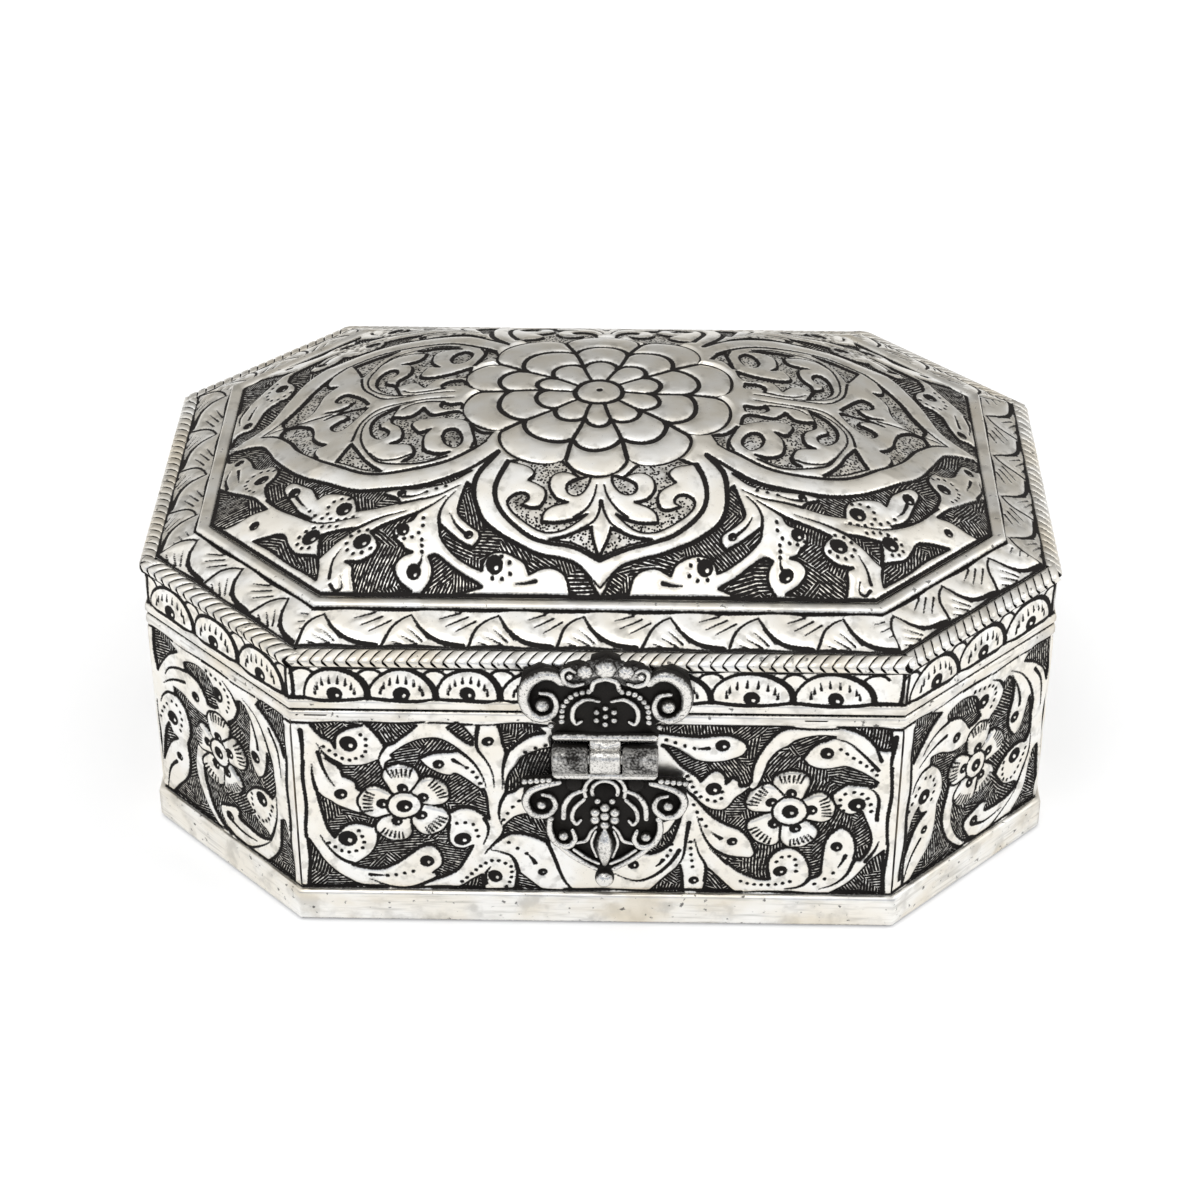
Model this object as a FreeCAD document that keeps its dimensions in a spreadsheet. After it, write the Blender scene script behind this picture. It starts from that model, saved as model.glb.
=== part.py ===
"""A chased white-metal trinket box: an oblong octagon with a domed, back-hinged lid and a cast front hasp.

Thin chased plates cover a wooden carcass of mitred boards. The lid carries a rope-edged rim, a domed top
sheet over a carved wooden crown, and the upper leaf of the hasp. A hinged flap hangs from that leaf in front
of a catch stud.
Origin: centre of the underside. +X along the length, +Y towards the hinges, +Z up. Lengths in millimetres.
"""
import FreeCAD, Part
import os
import Sketcher
from FreeCAD import Vector

# Driving dimensions: alias, value, what it measures
SIZES = (
    ("box_length", 152.0, "length over the rope rim"),
    ("box_depth", 109.0, "depth over the rope rim"),
    ("corner_cut", 27.0, "how far each corner is cut back along both sides"),
    ("sheet_thickness", 0.6, "every chased plate and folded sheet"),
    ("board_thickness", 5.0, "every mitred carcass board"),
    ("lining_thickness", 1.2, "velvet on card round the walls"),
    ("soft_gap", 0.3, "room round the soft pieces"),
    ("glue_gap", 0.2, "bedding between the crown and its sheet"),
    ("felt_thickness", 0.8, "felt under the box"),
    ("plinth_height", 6.3, "floor to the top of the plinth"),
    ("plinth_overhang", 0.5, "plinth beyond the rim's outline"),
    ("plinth_foot_gap", 0.2, "plinth sheet above the floor"),
    ("plinth_turn_in", 4.0, "flange of the plinth sheet under the board"),
    ("wall_setback", 0.8, "wall plates behind the rim's outline"),
    ("bead_setback", 0.3, "plain beads behind the rim's outline"),
    ("split_height", 42.8, "top of the base"),
    ("base_bead_height", 2.0, "plain bead at the top of the base"),
    ("lid_gap", 0.3, "line between base and closed lid"),
    ("lid_bead_height", 1.9, "plain bead at the foot of the lid"),
    ("floor_pad_thickness", 2.0, "velvet pad on the floor"),
    ("lid_pad_thickness", 1.0, "velvet panel in the lid"),
    ("skirt_height", 6.3, "chased skirt between the lid's bead and the rope rim"),
    ("rim_height", 2.2, "face of the rope rim"),
    ("rim_width", 2.8, "top of the rope rim"),
    ("crown_lip", 0.8, "crown board below the rope rim"),
    ("leaf_band_width", 6.5, "sloping leaf band inside the rim"),
    ("leaf_band_rise", 2.8, "height that the leaf band climbs"),
    ("bar_width", 2.3, "plain bar inside the leaf band"),
    ("bar_height", 1.0, "bar above the leaf band"),
    ("dome_rise", 13.3, "dome above the bar"),
    ("dome_power", 2.7, "fullness of the dome's section"),
    ("hinge_width", 16.0, "along the pin"),
    ("hinge_base_leaf", 10.0, "base leaf below the pin"),
    ("hinge_leaf_gap", 0.95, "lid leaf below the rope rim"),
    ("hinge_sheet", 0.8, "hinge leaves"),
    ("hinge_barrel_radius", 1.5, "knuckles"),
    ("hinge_pin_radius", 0.7, "pin in the knuckles"),
    ("hinge_pin_end", 0.4, "pin beyond the knuckles, each end"),
    ("hinge_knuckle", 5.8, "middle knuckle along the pin"),
    ("hinge_nail_spacing", 10.6, "between the two nails of a leaf"),
    ("heel_reach", 4.2, "stop heel from the pin's axis"),
    ("heel_depth", 1.7, "stop heel across"),
    ("lid_open_angle", 105.0, "degrees at which the heel stops the lid"),
    ("pin_clearance", 0.03, "radial, every pin in its knuckles"),
    ("knuckle_gap", 0.2, "between neighbouring knuckles and round them"),
    ("stop_gap", 0.06, "heel short of its leaf when open"),
    ("nail_radius", 0.45, "nail shank"),
    ("nail_head_radius", 1.1, "nail head"),
    ("nail_head_height", 0.6, "nail head"),
    ("nail_bite", 3.2, "nail into its board"),
    ("hasp_offset", 1.4, "hasp to the right of the middle"),
    ("hasp_width", 25.8, "over the hasp's scrolls"),
    ("hasp_thickness", 1.6, "cast plates"),
    ("hasp_relief", 1.0, "scrolls above the plates"),
    ("hasp_rise", 2.2, "hasp's top lobe above the rope rim"),
    ("hasp_rail_drop", 3.8, "foot of the upper leaf below the top of the base"),
    ("hasp_knuckle_room", 0.8, "hasp knuckles clear of the rails"),
    ("hasp_tip_height", 12.2, "floor to the point of the flap"),
    ("hasp_rail_width", 17.0, "along the hasp's pin"),
    ("hasp_rail_depth", 1.5, "rails beside the knuckles, up and down"),
    ("hasp_knuckle", 5.0, "middle knuckle along the pin"),
    ("hasp_barrel_radius", 2.2, "hasp knuckles"),
    ("hasp_pin_radius", 0.9, "hasp pin"),
    ("hasp_nail_spacing", 19.8, "between the two nails of the upper leaf"),
    ("hasp_boss_radius", 1.2, "feet behind the upper leaf"),
    ("hasp_foot_gap", 0.1, "those feet above the lid's bead"),
    ("lobe_radius", 2.6, "lobes along the hasp's top"),
    ("scroll_radius", 2.9, "large scrolls"),
    ("small_scroll_radius", 2.0, "small scrolls"),
    ("bead_radius", 0.85, "beads of the flowers"),
    ("bead_ring_radius", 1.9, "ring of those beads"),
    ("eye_radius", 0.95, "round piercings beside the flowers"),
    ("bud_radius", 1.7, "bud on the flap"),
    ("knob_radius", 1.6, "finger knob at the flap's point"),
    ("catch_width", 10.0, "catch plate"),
    ("catch_length", 12.0, "catch plate"),
    ("catch_sheet", 0.35, "catch plate"),
    ("catch_height", 20.0, "floor to the catch stud"),
    ("catch_radius", 1.5, "catch stud"),
    ("catch_reach", 1.0, "stud above its plate"),
    ("catch_nail_spacing", 7.0, "between the two nails of the catch"),
    ("catch_head_height", 0.2, "flat heads of those nails"),
    ("hollow_depth", 0.9, "hollow in the flap's back for the stud"),
    ("hollow_room", 0.9, "hollow round the stud, above and beside"),
    ("hollow_drop", 5.0, "hollow below the stud"),
    ("overrun", 1.0, "cuts past their faces"),
)

doc = FreeCAD.newDocument("chased_box")
sheet = doc.addObject("Spreadsheet::Sheet", "Sizes")
for row, (alias, number, note) in enumerate(SIZES, start=1):
    sheet.set(f"A{row}", note)
    sheet.set(f"B{row}", str(number))
    sheet.setAlias(f"B{row}", alias)
doc.recompute()

SUBPARTS = {}
SIDES = ("front", "front_right", "right", "back_right", "back", "back_left", "left", "front_left")
TURNS = {
    "X": FreeCAD.Rotation(Vector(0, 1, 0), 90),
    "+Y": FreeCAD.Rotation(Vector(1, 0, 0), -90),
    "-Y": FreeCAD.Rotation(Vector(1, 0, 0), 90),
    "Z": FreeCAD.Rotation(),
}

# Levels and insets, worked out from the sheet's sizes
WALL_IN = "(Sizes.wall_setback + Sizes.sheet_thickness)"
BOARD_IN = f"({WALL_IN} + Sizes.board_thickness)"
LINING_IN = f"({BOARD_IN} + Sizes.lining_thickness)"
BOARD_TOP = "(Sizes.plinth_height - Sizes.sheet_thickness)"
WALL_TOP = "(Sizes.split_height - Sizes.sheet_thickness)"
LID_FOOT = "(Sizes.split_height + Sizes.lid_gap)"
LID_FLOOR = f"({LID_FOOT} + Sizes.sheet_thickness)"
RIM_FOOT = f"({LID_FOOT} + Sizes.lid_bead_height + Sizes.skirt_height)"
RIM_TOP = f"({RIM_FOOT} + Sizes.rim_height)"
CROWN_FOOT = f"({RIM_FOOT} - Sizes.crown_lip)"
BAR_INSET = "(Sizes.rim_width + Sizes.leaf_band_width)"
DOME_INSET = f"({BAR_INSET} + Sizes.bar_width)"
BACK = "(Sizes.box_depth / 2)"
DOME_SECTION_SHARES = (1.0, 0.86, 0.68, 0.46, 0.2)


def node(label, solid):
    """Give a finished sub-part the name of its node."""
    solid.Label = label
    SUBPARTS[label] = solid
    return solid


def octagon(inset, scale="1"):
    """Corners of the box's outline moved in by inset and scaled: front left first, then anticlockwise."""
    half_length = f"((Sizes.box_length / 2 - {inset}) * {scale})"
    half_depth = f"((Sizes.box_depth / 2 - {inset}) * {scale})"
    cut_back = f"((Sizes.corner_cut - {inset} * (2 - sqrt(2))) * {scale})"
    front_half = f"({half_length} - {cut_back})"
    side_half = f"({half_depth} - {cut_back})"
    right = [
        (front_half, f"-{half_depth}"),
        (half_length, f"-{side_half}"),
        (half_length, side_half),
        (front_half, half_depth),
    ]
    left = [(f"-{x}", y) for x, y in reversed(right)]
    return [left[-1]] + right + left[:-1]


def sketch_on(body, role, name, level="0"):
    """A sketch on one of the body's own origin planes, raised to a level along that plane's normal."""
    sketch = body.newObject("Sketcher::SketchObject", name)
    plane = next(feature for feature in body.Origin.OriginFeatures if feature.Role == role)
    sketch.AttachmentSupport = (plane, [""])
    sketch.MapMode = "FlatFace"
    sketch.setExpression("AttachmentOffset.Base.z", level)
    return sketch


def polygon(sketch, corners):
    """A closed outline whose corners are bound to formulas of the sheet's sizes."""
    first = sketch.GeometryCount
    points = [Vector(sheet.evalExpression(x), sheet.evalExpression(y), 0) for x, y in corners]
    count = len(points)
    edges = [Part.LineSegment(points[i], points[(i + 1) % count]) for i in range(count)]
    sketch.addGeometry(edges, False)
    for i in range(count):
        sketch.addConstraint(Sketcher.Constraint("Coincident", first + i, 2, first + (i + 1) % count, 1))
    for i, (x, y) in enumerate(corners):
        for kind, formula, place in (("DistanceX", x, points[i].x), ("DistanceY", y, points[i].y)):
            index = sketch.addConstraint(Sketcher.Constraint(kind, -1, 1, first + i, 1, place))
            sketch.setExpression(f"Constraints[{index}]", formula)


def pad(body, sketch, length, reverse=False):
    """Extrude a sketch by a formula of the sheet's sizes."""
    feature = body.newObject("PartDesign::Pad", f"{sketch.Name}_pad")
    feature.Profile = sketch
    feature.Reversed = reverse
    feature.setExpression("Length", length)
    return feature


def new_body(name):
    return doc.addObject("PartDesign::Body", name)


def add_ring(body, name, outer, inner, bottom, height):
    """An octagonal ring between two insets."""
    sketch = sketch_on(body, "XY_Plane", name, bottom)
    polygon(sketch, octagon(outer))
    polygon(sketch, octagon(inner))
    pad(body, sketch, height)


def add_plate(body, name, inset, bottom, height):
    """A whole octagon at one inset."""
    sketch = sketch_on(body, "XY_Plane", name, bottom)
    polygon(sketch, octagon(inset))
    pad(body, sketch, height)


def side_strip(name, side, outer, inner, bottom, height):
    """One straight, mitred length of an octagonal ring."""
    body = new_body(name)
    sketch = sketch_on(body, "XY_Plane", f"{name}_plan", bottom)
    far, near = octagon(outer), octagon(inner)
    after = (side + 1) % len(SIDES)
    polygon(sketch, [far[side], far[after], near[after], near[side]])
    pad(body, sketch, height)
    return body


def loft(body, name, sections):
    """A loft through scaled octagons: (inset, scale, height) each, from the bottom up."""
    sketches = []
    for number, (inset, scale, level) in enumerate(sections):
        sketch = sketch_on(body, "XY_Plane", f"{name}_{number}", level)
        polygon(sketch, octagon(inset, scale))
        sketches.append(sketch)
    feature = body.newObject("PartDesign::AdditiveLoft", name)
    feature.Profile = sketches[0]
    feature.Sections = sketches[1:]


def place(solid, x, y, z, turn="Z"):
    solid.Placement = FreeCAD.Placement(Vector(), TURNS[turn])
    for axis, formula in zip("xyz", (x, y, z)):
        solid.setExpression(f"Placement.Base.{axis}", formula)


def block(name, low, size):
    solid = doc.addObject("Part::Box", name)
    for side, formula in zip(("Length", "Width", "Height"), size):
        solid.setExpression(side, formula)
    place(solid, *low)
    return solid


def rod(name, start, radius, length, turn):
    solid = doc.addObject("Part::Cylinder", name)
    solid.setExpression("Radius", radius)
    solid.setExpression("Height", length)
    place(solid, *start, turn)
    return solid


def cone(name, start, radius, far_radius, length, turn):
    solid = doc.addObject("Part::Cone", name)
    solid.setExpression("Radius1", radius)
    solid.setExpression("Radius2", far_radius)
    solid.setExpression("Height", length)
    place(solid, *start, turn)
    return solid


def ball(name, centre, radius):
    solid = doc.addObject("Part::Sphere", name)
    solid.setExpression("Radius", radius)
    place(solid, *centre)
    return solid


def fuse(name, solids):
    union = doc.addObject("Part::MultiFuse", name)
    union.Shapes = solids
    return union


def group(name, solids):
    """Separate solids that share one node."""
    compound = doc.addObject("Part::Compound", name)
    compound.Links = solids
    return compound


def cut(name, solid, tool):
    result = doc.addObject("Part::Cut", name)
    result.Base = solid
    result.Tool = tool
    return result


def nails(name, places, face, board_face, outward, head_height="Sizes.nail_head_height"):
    """Nails at (x, z) places whose heads sit on the face, with the holes that they make down to the board."""
    inward = "-Y" if outward == "+Y" else "+Y"
    sign = "" if outward == "+Y" else "-"
    shank_length = f"({sign}({face} - {board_face}) + Sizes.nail_bite)"
    crown_share = 0.55
    solids = []
    holes = []
    for number, (x, z) in enumerate(places):
        head = cone(f"{name}_head_{number}", (x, face, z), "Sizes.nail_head_radius",
                    f"Sizes.nail_head_radius * {crown_share}", head_height, outward)
        shank = rod(f"{name}_shank_{number}", (x, face, z), "Sizes.nail_radius", shank_length, inward)
        solids.append(fuse(f"{name}_{number}", [head, shank]))
        holes.append(rod(f"{name}_hole_{number}", (x, face, z), "Sizes.nail_radius", shank_length, inward))
    return group(name, solids), group(f"{name}_holes", holes)


def base_carcass(holes):
    """Felt, plinth, floor board, mitred boards, chased plates, top bead and velvet of the base."""
    felt = new_body("felt_body")
    add_plate(felt, "felt_plan", "(Sizes.plinth_turn_in + Sizes.soft_gap - Sizes.plinth_overhang)", "0",
              "Sizes.felt_thickness")
    node("base_felt", felt)

    board_edge = "(Sizes.sheet_thickness - Sizes.plinth_overhang)"
    floor = new_body("floor_body")
    add_plate(floor, "floor_plan", board_edge, "Sizes.felt_thickness", f"{BOARD_TOP} - Sizes.felt_thickness")
    node("base_floor_board", floor)

    plinth = new_body("plinth_body")
    outer = "(-Sizes.plinth_overhang)"
    lower = "Sizes.felt_thickness - Sizes.plinth_foot_gap"
    add_ring(plinth, "plinth_face", outer, board_edge, "Sizes.plinth_foot_gap",
             "Sizes.plinth_height - Sizes.plinth_foot_gap")
    add_ring(plinth, "plinth_ledge", outer, WALL_IN, BOARD_TOP, "Sizes.sheet_thickness")
    add_ring(plinth, "plinth_turned_edge", outer, "(Sizes.plinth_turn_in - Sizes.plinth_overhang)",
             "Sizes.plinth_foot_gap", lower)
    node("plinth_sheet", plinth)

    for side, word in enumerate(SIDES):
        board = side_strip(f"base_{word}_board_body", side, WALL_IN, BOARD_IN, BOARD_TOP,
                           f"{WALL_TOP} - {BOARD_TOP}")
        plate = side_strip(f"base_{word}_plate_body", side, "Sizes.wall_setback", WALL_IN,
                           "Sizes.plinth_height", f"{WALL_TOP} - Sizes.plinth_height")
        if word in holes:
            board = cut(f"base_{word}_board_drilled", board, holes[word])
            plate = cut(f"base_{word}_plate_drilled", plate, holes[word])
        node(f"base_{word}_board", board)
        node(f"base_{word}_plate", plate)

    bead = new_body("base_bead_body")
    add_ring(bead, "base_bead_face", "Sizes.bead_setback", "Sizes.wall_setback",
             "Sizes.split_height - Sizes.base_bead_height", "Sizes.base_bead_height")
    add_ring(bead, "base_bead_cap", "Sizes.bead_setback", LINING_IN, WALL_TOP, "Sizes.sheet_thickness")
    node("base_top_bead", bead)

    lining = new_body("base_lining_body")
    add_ring(lining, "base_lining_plan", BOARD_IN, LINING_IN, BOARD_TOP, f"{WALL_TOP} - {BOARD_TOP}")
    node("base_wall_lining", lining)

    floor_pad = new_body("floor_pad_body")
    add_plate(floor_pad, "floor_pad_plan", f"({LINING_IN} + Sizes.soft_gap)", BOARD_TOP,
              "Sizes.floor_pad_thickness")
    node("base_floor_pad", floor_pad)


def add_crown(body, name, drop):
    """The lid's leaf-band slope, bar step and dome, lowered by drop."""
    slope_start = f"(Sizes.rim_width + ({drop}) * Sizes.leaf_band_width / Sizes.leaf_band_rise)"
    slope_top = f"({RIM_TOP} + Sizes.leaf_band_rise - ({drop}))"
    bar_top = f"({slope_top} + Sizes.bar_height)"
    loft(body, f"{name}_slope", [(slope_start, "1", RIM_TOP), (BAR_INSET, "1", slope_top)])
    add_plate(body, f"{name}_bar", f"({BAR_INSET} + ({drop}))", slope_top, "Sizes.bar_height")
    sections = []
    for share in DOME_SECTION_SHARES:
        level = f"{bar_top} + Sizes.dome_rise * (1 - {share} ^ Sizes.dome_power)"
        sections.append((DOME_INSET, str(share), level))
    loft(body, f"{name}_dome", sections)


def lid_carcass(holes):
    """Mitred boards, carved crown, skirt, beads, rope rim, domed sheet and velvet of the lid."""
    for side, word in enumerate(SIDES):
        board = side_strip(f"lid_{word}_board_body", side, WALL_IN, BOARD_IN, LID_FLOOR,
                           f"{CROWN_FOOT} - {LID_FLOOR}")
        if word in holes:
            board = cut(f"lid_{word}_board_drilled", board, holes[word])
        node(f"lid_{word}_board", board)

    crown = new_body("crown_body")
    add_plate(crown, "crown_lip_plan", WALL_IN, CROWN_FOOT, "Sizes.crown_lip")
    add_plate(crown, "crown_edge_plan", "Sizes.rim_width", RIM_FOOT, "Sizes.rim_height")
    add_crown(crown, "crown", "Sizes.sheet_thickness + Sizes.glue_gap")
    node("lid_crown_board", crown)

    skirt = new_body("skirt_body")
    add_ring(skirt, "skirt_plan", "Sizes.wall_setback", WALL_IN, LID_FLOOR, f"{RIM_FOOT} - {LID_FLOOR}")
    skirt_holes = group("skirt_holes", list(holes.values()))
    node("lid_skirt_sheet", cut("skirt_drilled", skirt, skirt_holes))

    bead = new_body("lid_bead_body")
    add_ring(bead, "lid_bead_face", "Sizes.bead_setback", "Sizes.wall_setback", LID_FOOT,
             "Sizes.lid_bead_height")
    add_ring(bead, "lid_bead_cap", "Sizes.bead_setback", LINING_IN, LID_FOOT, "Sizes.sheet_thickness")
    node("lid_lower_bead", bead)

    rim = new_body("rim_body")
    add_ring(rim, "rim_plan", "0", "Sizes.rim_width", RIM_FOOT, "Sizes.rim_height")
    node("lid_rope_rim", rim)

    outer = new_body("top_sheet_outer")
    add_crown(outer, "top_outer", "0")
    under = new_body("top_sheet_under")
    add_crown(under, "top_under", "Sizes.sheet_thickness")
    node("lid_top_sheet", cut("top_sheet_shell", outer, under))

    lining = new_body("lid_lining_body")
    lining_top = f"({CROWN_FOOT} - Sizes.lid_pad_thickness)"
    add_ring(lining, "lid_lining_plan", BOARD_IN, LINING_IN, LID_FLOOR, f"{lining_top} - {LID_FLOOR}")
    node("lid_wall_lining", lining)

    panel = new_body("lid_panel_body")
    add_plate(panel, "lid_panel_plan", f"({BOARD_IN} + Sizes.soft_gap)", lining_top,
              "Sizes.lid_pad_thickness")
    node("lid_lining_panel", panel)


# Back hinges: leaves lie on the plain beads, with the pin behind them at the split
HINGE_FACE = f"({BACK} - Sizes.bead_setback)"
HINGE_OUT = f"({HINGE_FACE} + Sizes.hinge_sheet)"
HINGE_Y = f"({HINGE_FACE} + Sizes.knuckle_gap + Sizes.hinge_barrel_radius)"
HINGE_Z = "(Sizes.split_height + Sizes.lid_gap / 2)"
HINGE_LID_LEAF = f"({RIM_FOOT} - Sizes.hinge_leaf_gap - {HINGE_Z})"
HINGE_PLACE_SHARE = 0.612
HINGE_X = f"((Sizes.box_length / 2 - Sizes.corner_cut) * {HINGE_PLACE_SHARE})"
HINGES = {"left": f"(-{HINGE_X})", "right": HINGE_X}
NAIL_HEIGHT_SHARE = 0.62


def hinge_nail_places(leaf, sign):
    """Two nails on each hinge, at one height."""
    level = f"{HINGE_Z} {sign} {leaf} * {NAIL_HEIGHT_SHARE}"
    places = []
    for middle in HINGES.values():
        for half in ("- Sizes.hinge_nail_spacing / 2", "+ Sizes.hinge_nail_spacing / 2"):
            places.append((f"{middle} {half}", level))
    return places


def stop_heel(name, middle):
    """A heel on the middle knuckle that meets the base leaf when the lid is fully open."""
    near = f"({HINGE_OUT} - {HINGE_Y} + Sizes.stop_gap)"
    far = "(-Sizes.heel_reach)"
    turn = "Sizes.lid_open_angle"
    low = (
        f"{middle} - Sizes.hinge_knuckle / 2",
        f"{HINGE_Y} + {near} * cos({turn}) - {far} * sin({turn})",
        f"{HINGE_Z} + {near} * sin({turn}) + {far} * cos({turn})",
    )
    heel = block(name, low, ("Sizes.hinge_knuckle", "Sizes.heel_depth", "Sizes.heel_reach"))
    tilt = FreeCAD.Rotation(Vector(1, 0, 0), sheet.evalExpression(turn))
    heel.Placement = FreeCAD.Placement(Vector(), tilt)
    heel.setExpression("Placement.Rotation.Angle", turn)
    return heel


def hinge(word, middle, base_holes, lid_holes):
    """One butt hinge: a two-knuckle base leaf, a one-knuckle lid leaf with its stop heel, and the pin."""
    left = f"{middle} - Sizes.hinge_width / 2"
    barrel = ("Sizes.hinge_barrel_radius", "Sizes.hinge_width", "X")
    base_plate = block(f"{word}_base_plate", (left, HINGE_FACE, f"{HINGE_Z} - Sizes.hinge_base_leaf"),
                       ("Sizes.hinge_width", "Sizes.hinge_sheet", "Sizes.hinge_base_leaf"))
    base_barrel = rod(f"{word}_base_barrel", (left, HINGE_Y, HINGE_Z), *barrel)
    lid_plate = block(f"{word}_lid_plate", (left, HINGE_FACE, HINGE_Z),
                      ("Sizes.hinge_width", "Sizes.hinge_sheet", HINGE_LID_LEAF))
    lid_barrel = rod(f"{word}_lid_barrel", (left, HINGE_Y, HINGE_Z), *barrel)

    room = "(Sizes.hinge_barrel_radius + Sizes.knuckle_gap)"
    inner_half = "(Sizes.hinge_knuckle / 2)"
    outer_half = f"({inner_half} + Sizes.knuckle_gap)"
    reach = f"({room} * 2 + Sizes.overrun)"
    notch_corner = (f"{HINGE_Y} - {reach} / 2", f"{HINGE_Z} - {room}")
    notch = block(f"{word}_base_notch", (f"{middle} - {outer_half}", *notch_corner),
                  (f"{outer_half} * 2", reach, reach))
    end_length = "(Sizes.hinge_width / 2)"
    end_size = (end_length, reach, f"{room} * 2")
    left_end = block(f"{word}_lid_left_notch",
                     (f"{middle} - {inner_half} - {end_length}", *notch_corner), end_size)
    right_end = block(f"{word}_lid_right_notch", (f"{middle} + {inner_half}", *notch_corner), end_size)
    bore_start = (f"{left} - Sizes.overrun", HINGE_Y, HINGE_Z)
    bore_length = "Sizes.hinge_width + 2 * Sizes.overrun"
    bore = rod(f"{word}_bore", bore_start, "Sizes.hinge_pin_radius + Sizes.pin_clearance", bore_length, "X")

    base_leaf = cut(f"{word}_base_leaf_shape", fuse(f"{word}_base_leaf_blank", [base_plate, base_barrel]),
                    group(f"{word}_base_leaf_cuts", [notch, bore, base_holes]))
    node(f"{word}_hinge_base_leaf", base_leaf)
    lid_blank = cut(f"{word}_lid_leaf_ends", fuse(f"{word}_lid_leaf_blank", [lid_plate, lid_barrel]),
                    group(f"{word}_lid_leaf_notches", [left_end, right_end]))
    with_heel = fuse(f"{word}_lid_leaf_heeled", [lid_blank, stop_heel(f"{word}_heel", middle)])
    lid_leaf = cut(f"{word}_lid_leaf_shape", with_heel, group(f"{word}_lid_leaf_cuts", [bore, lid_holes]))
    node(f"{word}_hinge_lid_leaf", lid_leaf)
    pin = rod(f"{word}_pin", (f"{left} - Sizes.hinge_pin_end", HINGE_Y, HINGE_Z), "Sizes.hinge_pin_radius",
              "Sizes.hinge_width + 2 * Sizes.hinge_pin_end", "X")
    node(f"{word}_hinge_pin", pin)


# Front hasp: its plates stand against the rope rim's face, clear of the base
HASP_BACK = f"(-{BACK})"
HASP_FACE = f"({HASP_BACK} - Sizes.hasp_thickness)"
HASP_Y = f"({HASP_BACK} - Sizes.hasp_barrel_radius)"
HASP_TOP = f"({RIM_TOP} + Sizes.hasp_rise)"
HASP_RAIL = "(Sizes.split_height - Sizes.hasp_rail_drop)"
HASP_PIN = f"({HASP_RAIL} - Sizes.hasp_barrel_radius - Sizes.hasp_knuckle_room)"
HASP_NAIL = f"({LID_FOOT} + Sizes.lid_bead_height + Sizes.hasp_foot_gap + Sizes.hasp_boss_radius)"
LEAF_HEIGHT = f"({HASP_TOP} - {HASP_RAIL})"
FLAP_TOP = f"({HASP_PIN} * 2 - {HASP_RAIL})"
FLAP_HEIGHT = f"({FLAP_TOP} - Sizes.hasp_tip_height)"
# Outlines and places across half the hasp's width and up its leaf, or down its flap
LEAF_OUTLINE_SHARES = ((0.64, 0.0), (0.8, 0.3), (0.66, 0.66), (0.4, 0.86))
LEAF_LOBE_SHARES = ((0.0, 0.0), (0.3, 0.09), (-0.3, 0.09))
LEAF_FLOWER_SHARE = 0.28
LEAF_EYE_SHARES = (0.47, 0.3)
FLAP_OUTLINE_SHARES = ((0.64, 0.0), (0.8, 0.34), (0.58, 0.66), (0.1, 1.0))
FLAP_SCROLL_SHARES = ((0.77, 0.37), (0.5, 0.68))
FLAP_FLOWER_SHARE = 0.48
FLAP_BUD_SHARES = (0.62, 0.92)
FLAP_EYE_SHARES = (0.43, 0.3)
BEAD_COUNT = 6


def hasp_x(share):
    return f"(Sizes.hasp_offset + Sizes.hasp_width / 2 * {share})"


def hasp_plate(name, shares, level):
    """A cast plate from one half of its outline, mirrored, with heights from the level function."""
    corners = [(hasp_x(across), level(along)) for across, along in shares]
    corners += [(hasp_x(-across), level(along)) for across, along in reversed(shares)]
    body = new_body(name)
    sketch = sketch_on(body, "XZ_Plane", f"{name}_outline", f"(-{HASP_BACK})")
    polygon(sketch, corners)
    pad(body, sketch, "Sizes.hasp_thickness")
    return body


def disc(name, x, z, radius, length, start=HASP_BACK, turn="-Y"):
    """A round boss or hole that stands along the hasp's thickness."""
    return rod(name, (x, start, z), radius, length, turn)


def bead_flower(name, level):
    """A ring of beads round a middle one, half sunk in the plate's face."""
    beads = [ball(f"{name}_middle", (hasp_x(0), HASP_FACE, level), "Sizes.bead_radius")]
    for number in range(BEAD_COUNT):
        turn = f"(360 * {number} / {BEAD_COUNT})"
        x = f"{hasp_x(0)} + Sizes.bead_ring_radius * sin({turn})"
        z = f"{level} + Sizes.bead_ring_radius * cos({turn})"
        beads.append(ball(f"{name}_{number}", (x, HASP_FACE, z), "Sizes.bead_radius"))
    return beads


def hasp_rail(name, bottom):
    low = ("Sizes.hasp_offset - Sizes.hasp_rail_width / 2", f"{HASP_FACE} - Sizes.hasp_relief", bottom)
    size = ("Sizes.hasp_rail_width", "Sizes.hasp_thickness + Sizes.hasp_relief", "Sizes.hasp_rail_depth")
    return block(name, low, size)


def hasp_knuckle(name, start, length, web_bottom, web_top):
    """A square-backed knuckle: a barrel and the web that ties it to its rail."""
    axis_start = (start, HASP_Y, HASP_PIN)
    barrel = rod(f"{name}_barrel", axis_start, "Sizes.hasp_barrel_radius", length, "X")
    web_size = (length, "Sizes.hasp_thickness", f"{web_top} - {web_bottom}")
    return [barrel, block(f"{name}_web", (start, HASP_FACE, web_bottom), web_size)]


def hasp_bore():
    start = ("Sizes.hasp_offset - Sizes.hasp_rail_width / 2 - Sizes.overrun", HASP_Y, HASP_PIN)
    return rod("hasp_bore", start, "Sizes.hasp_pin_radius + Sizes.pin_clearance",
               "Sizes.hasp_rail_width + 2 * Sizes.overrun", "X")


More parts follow.
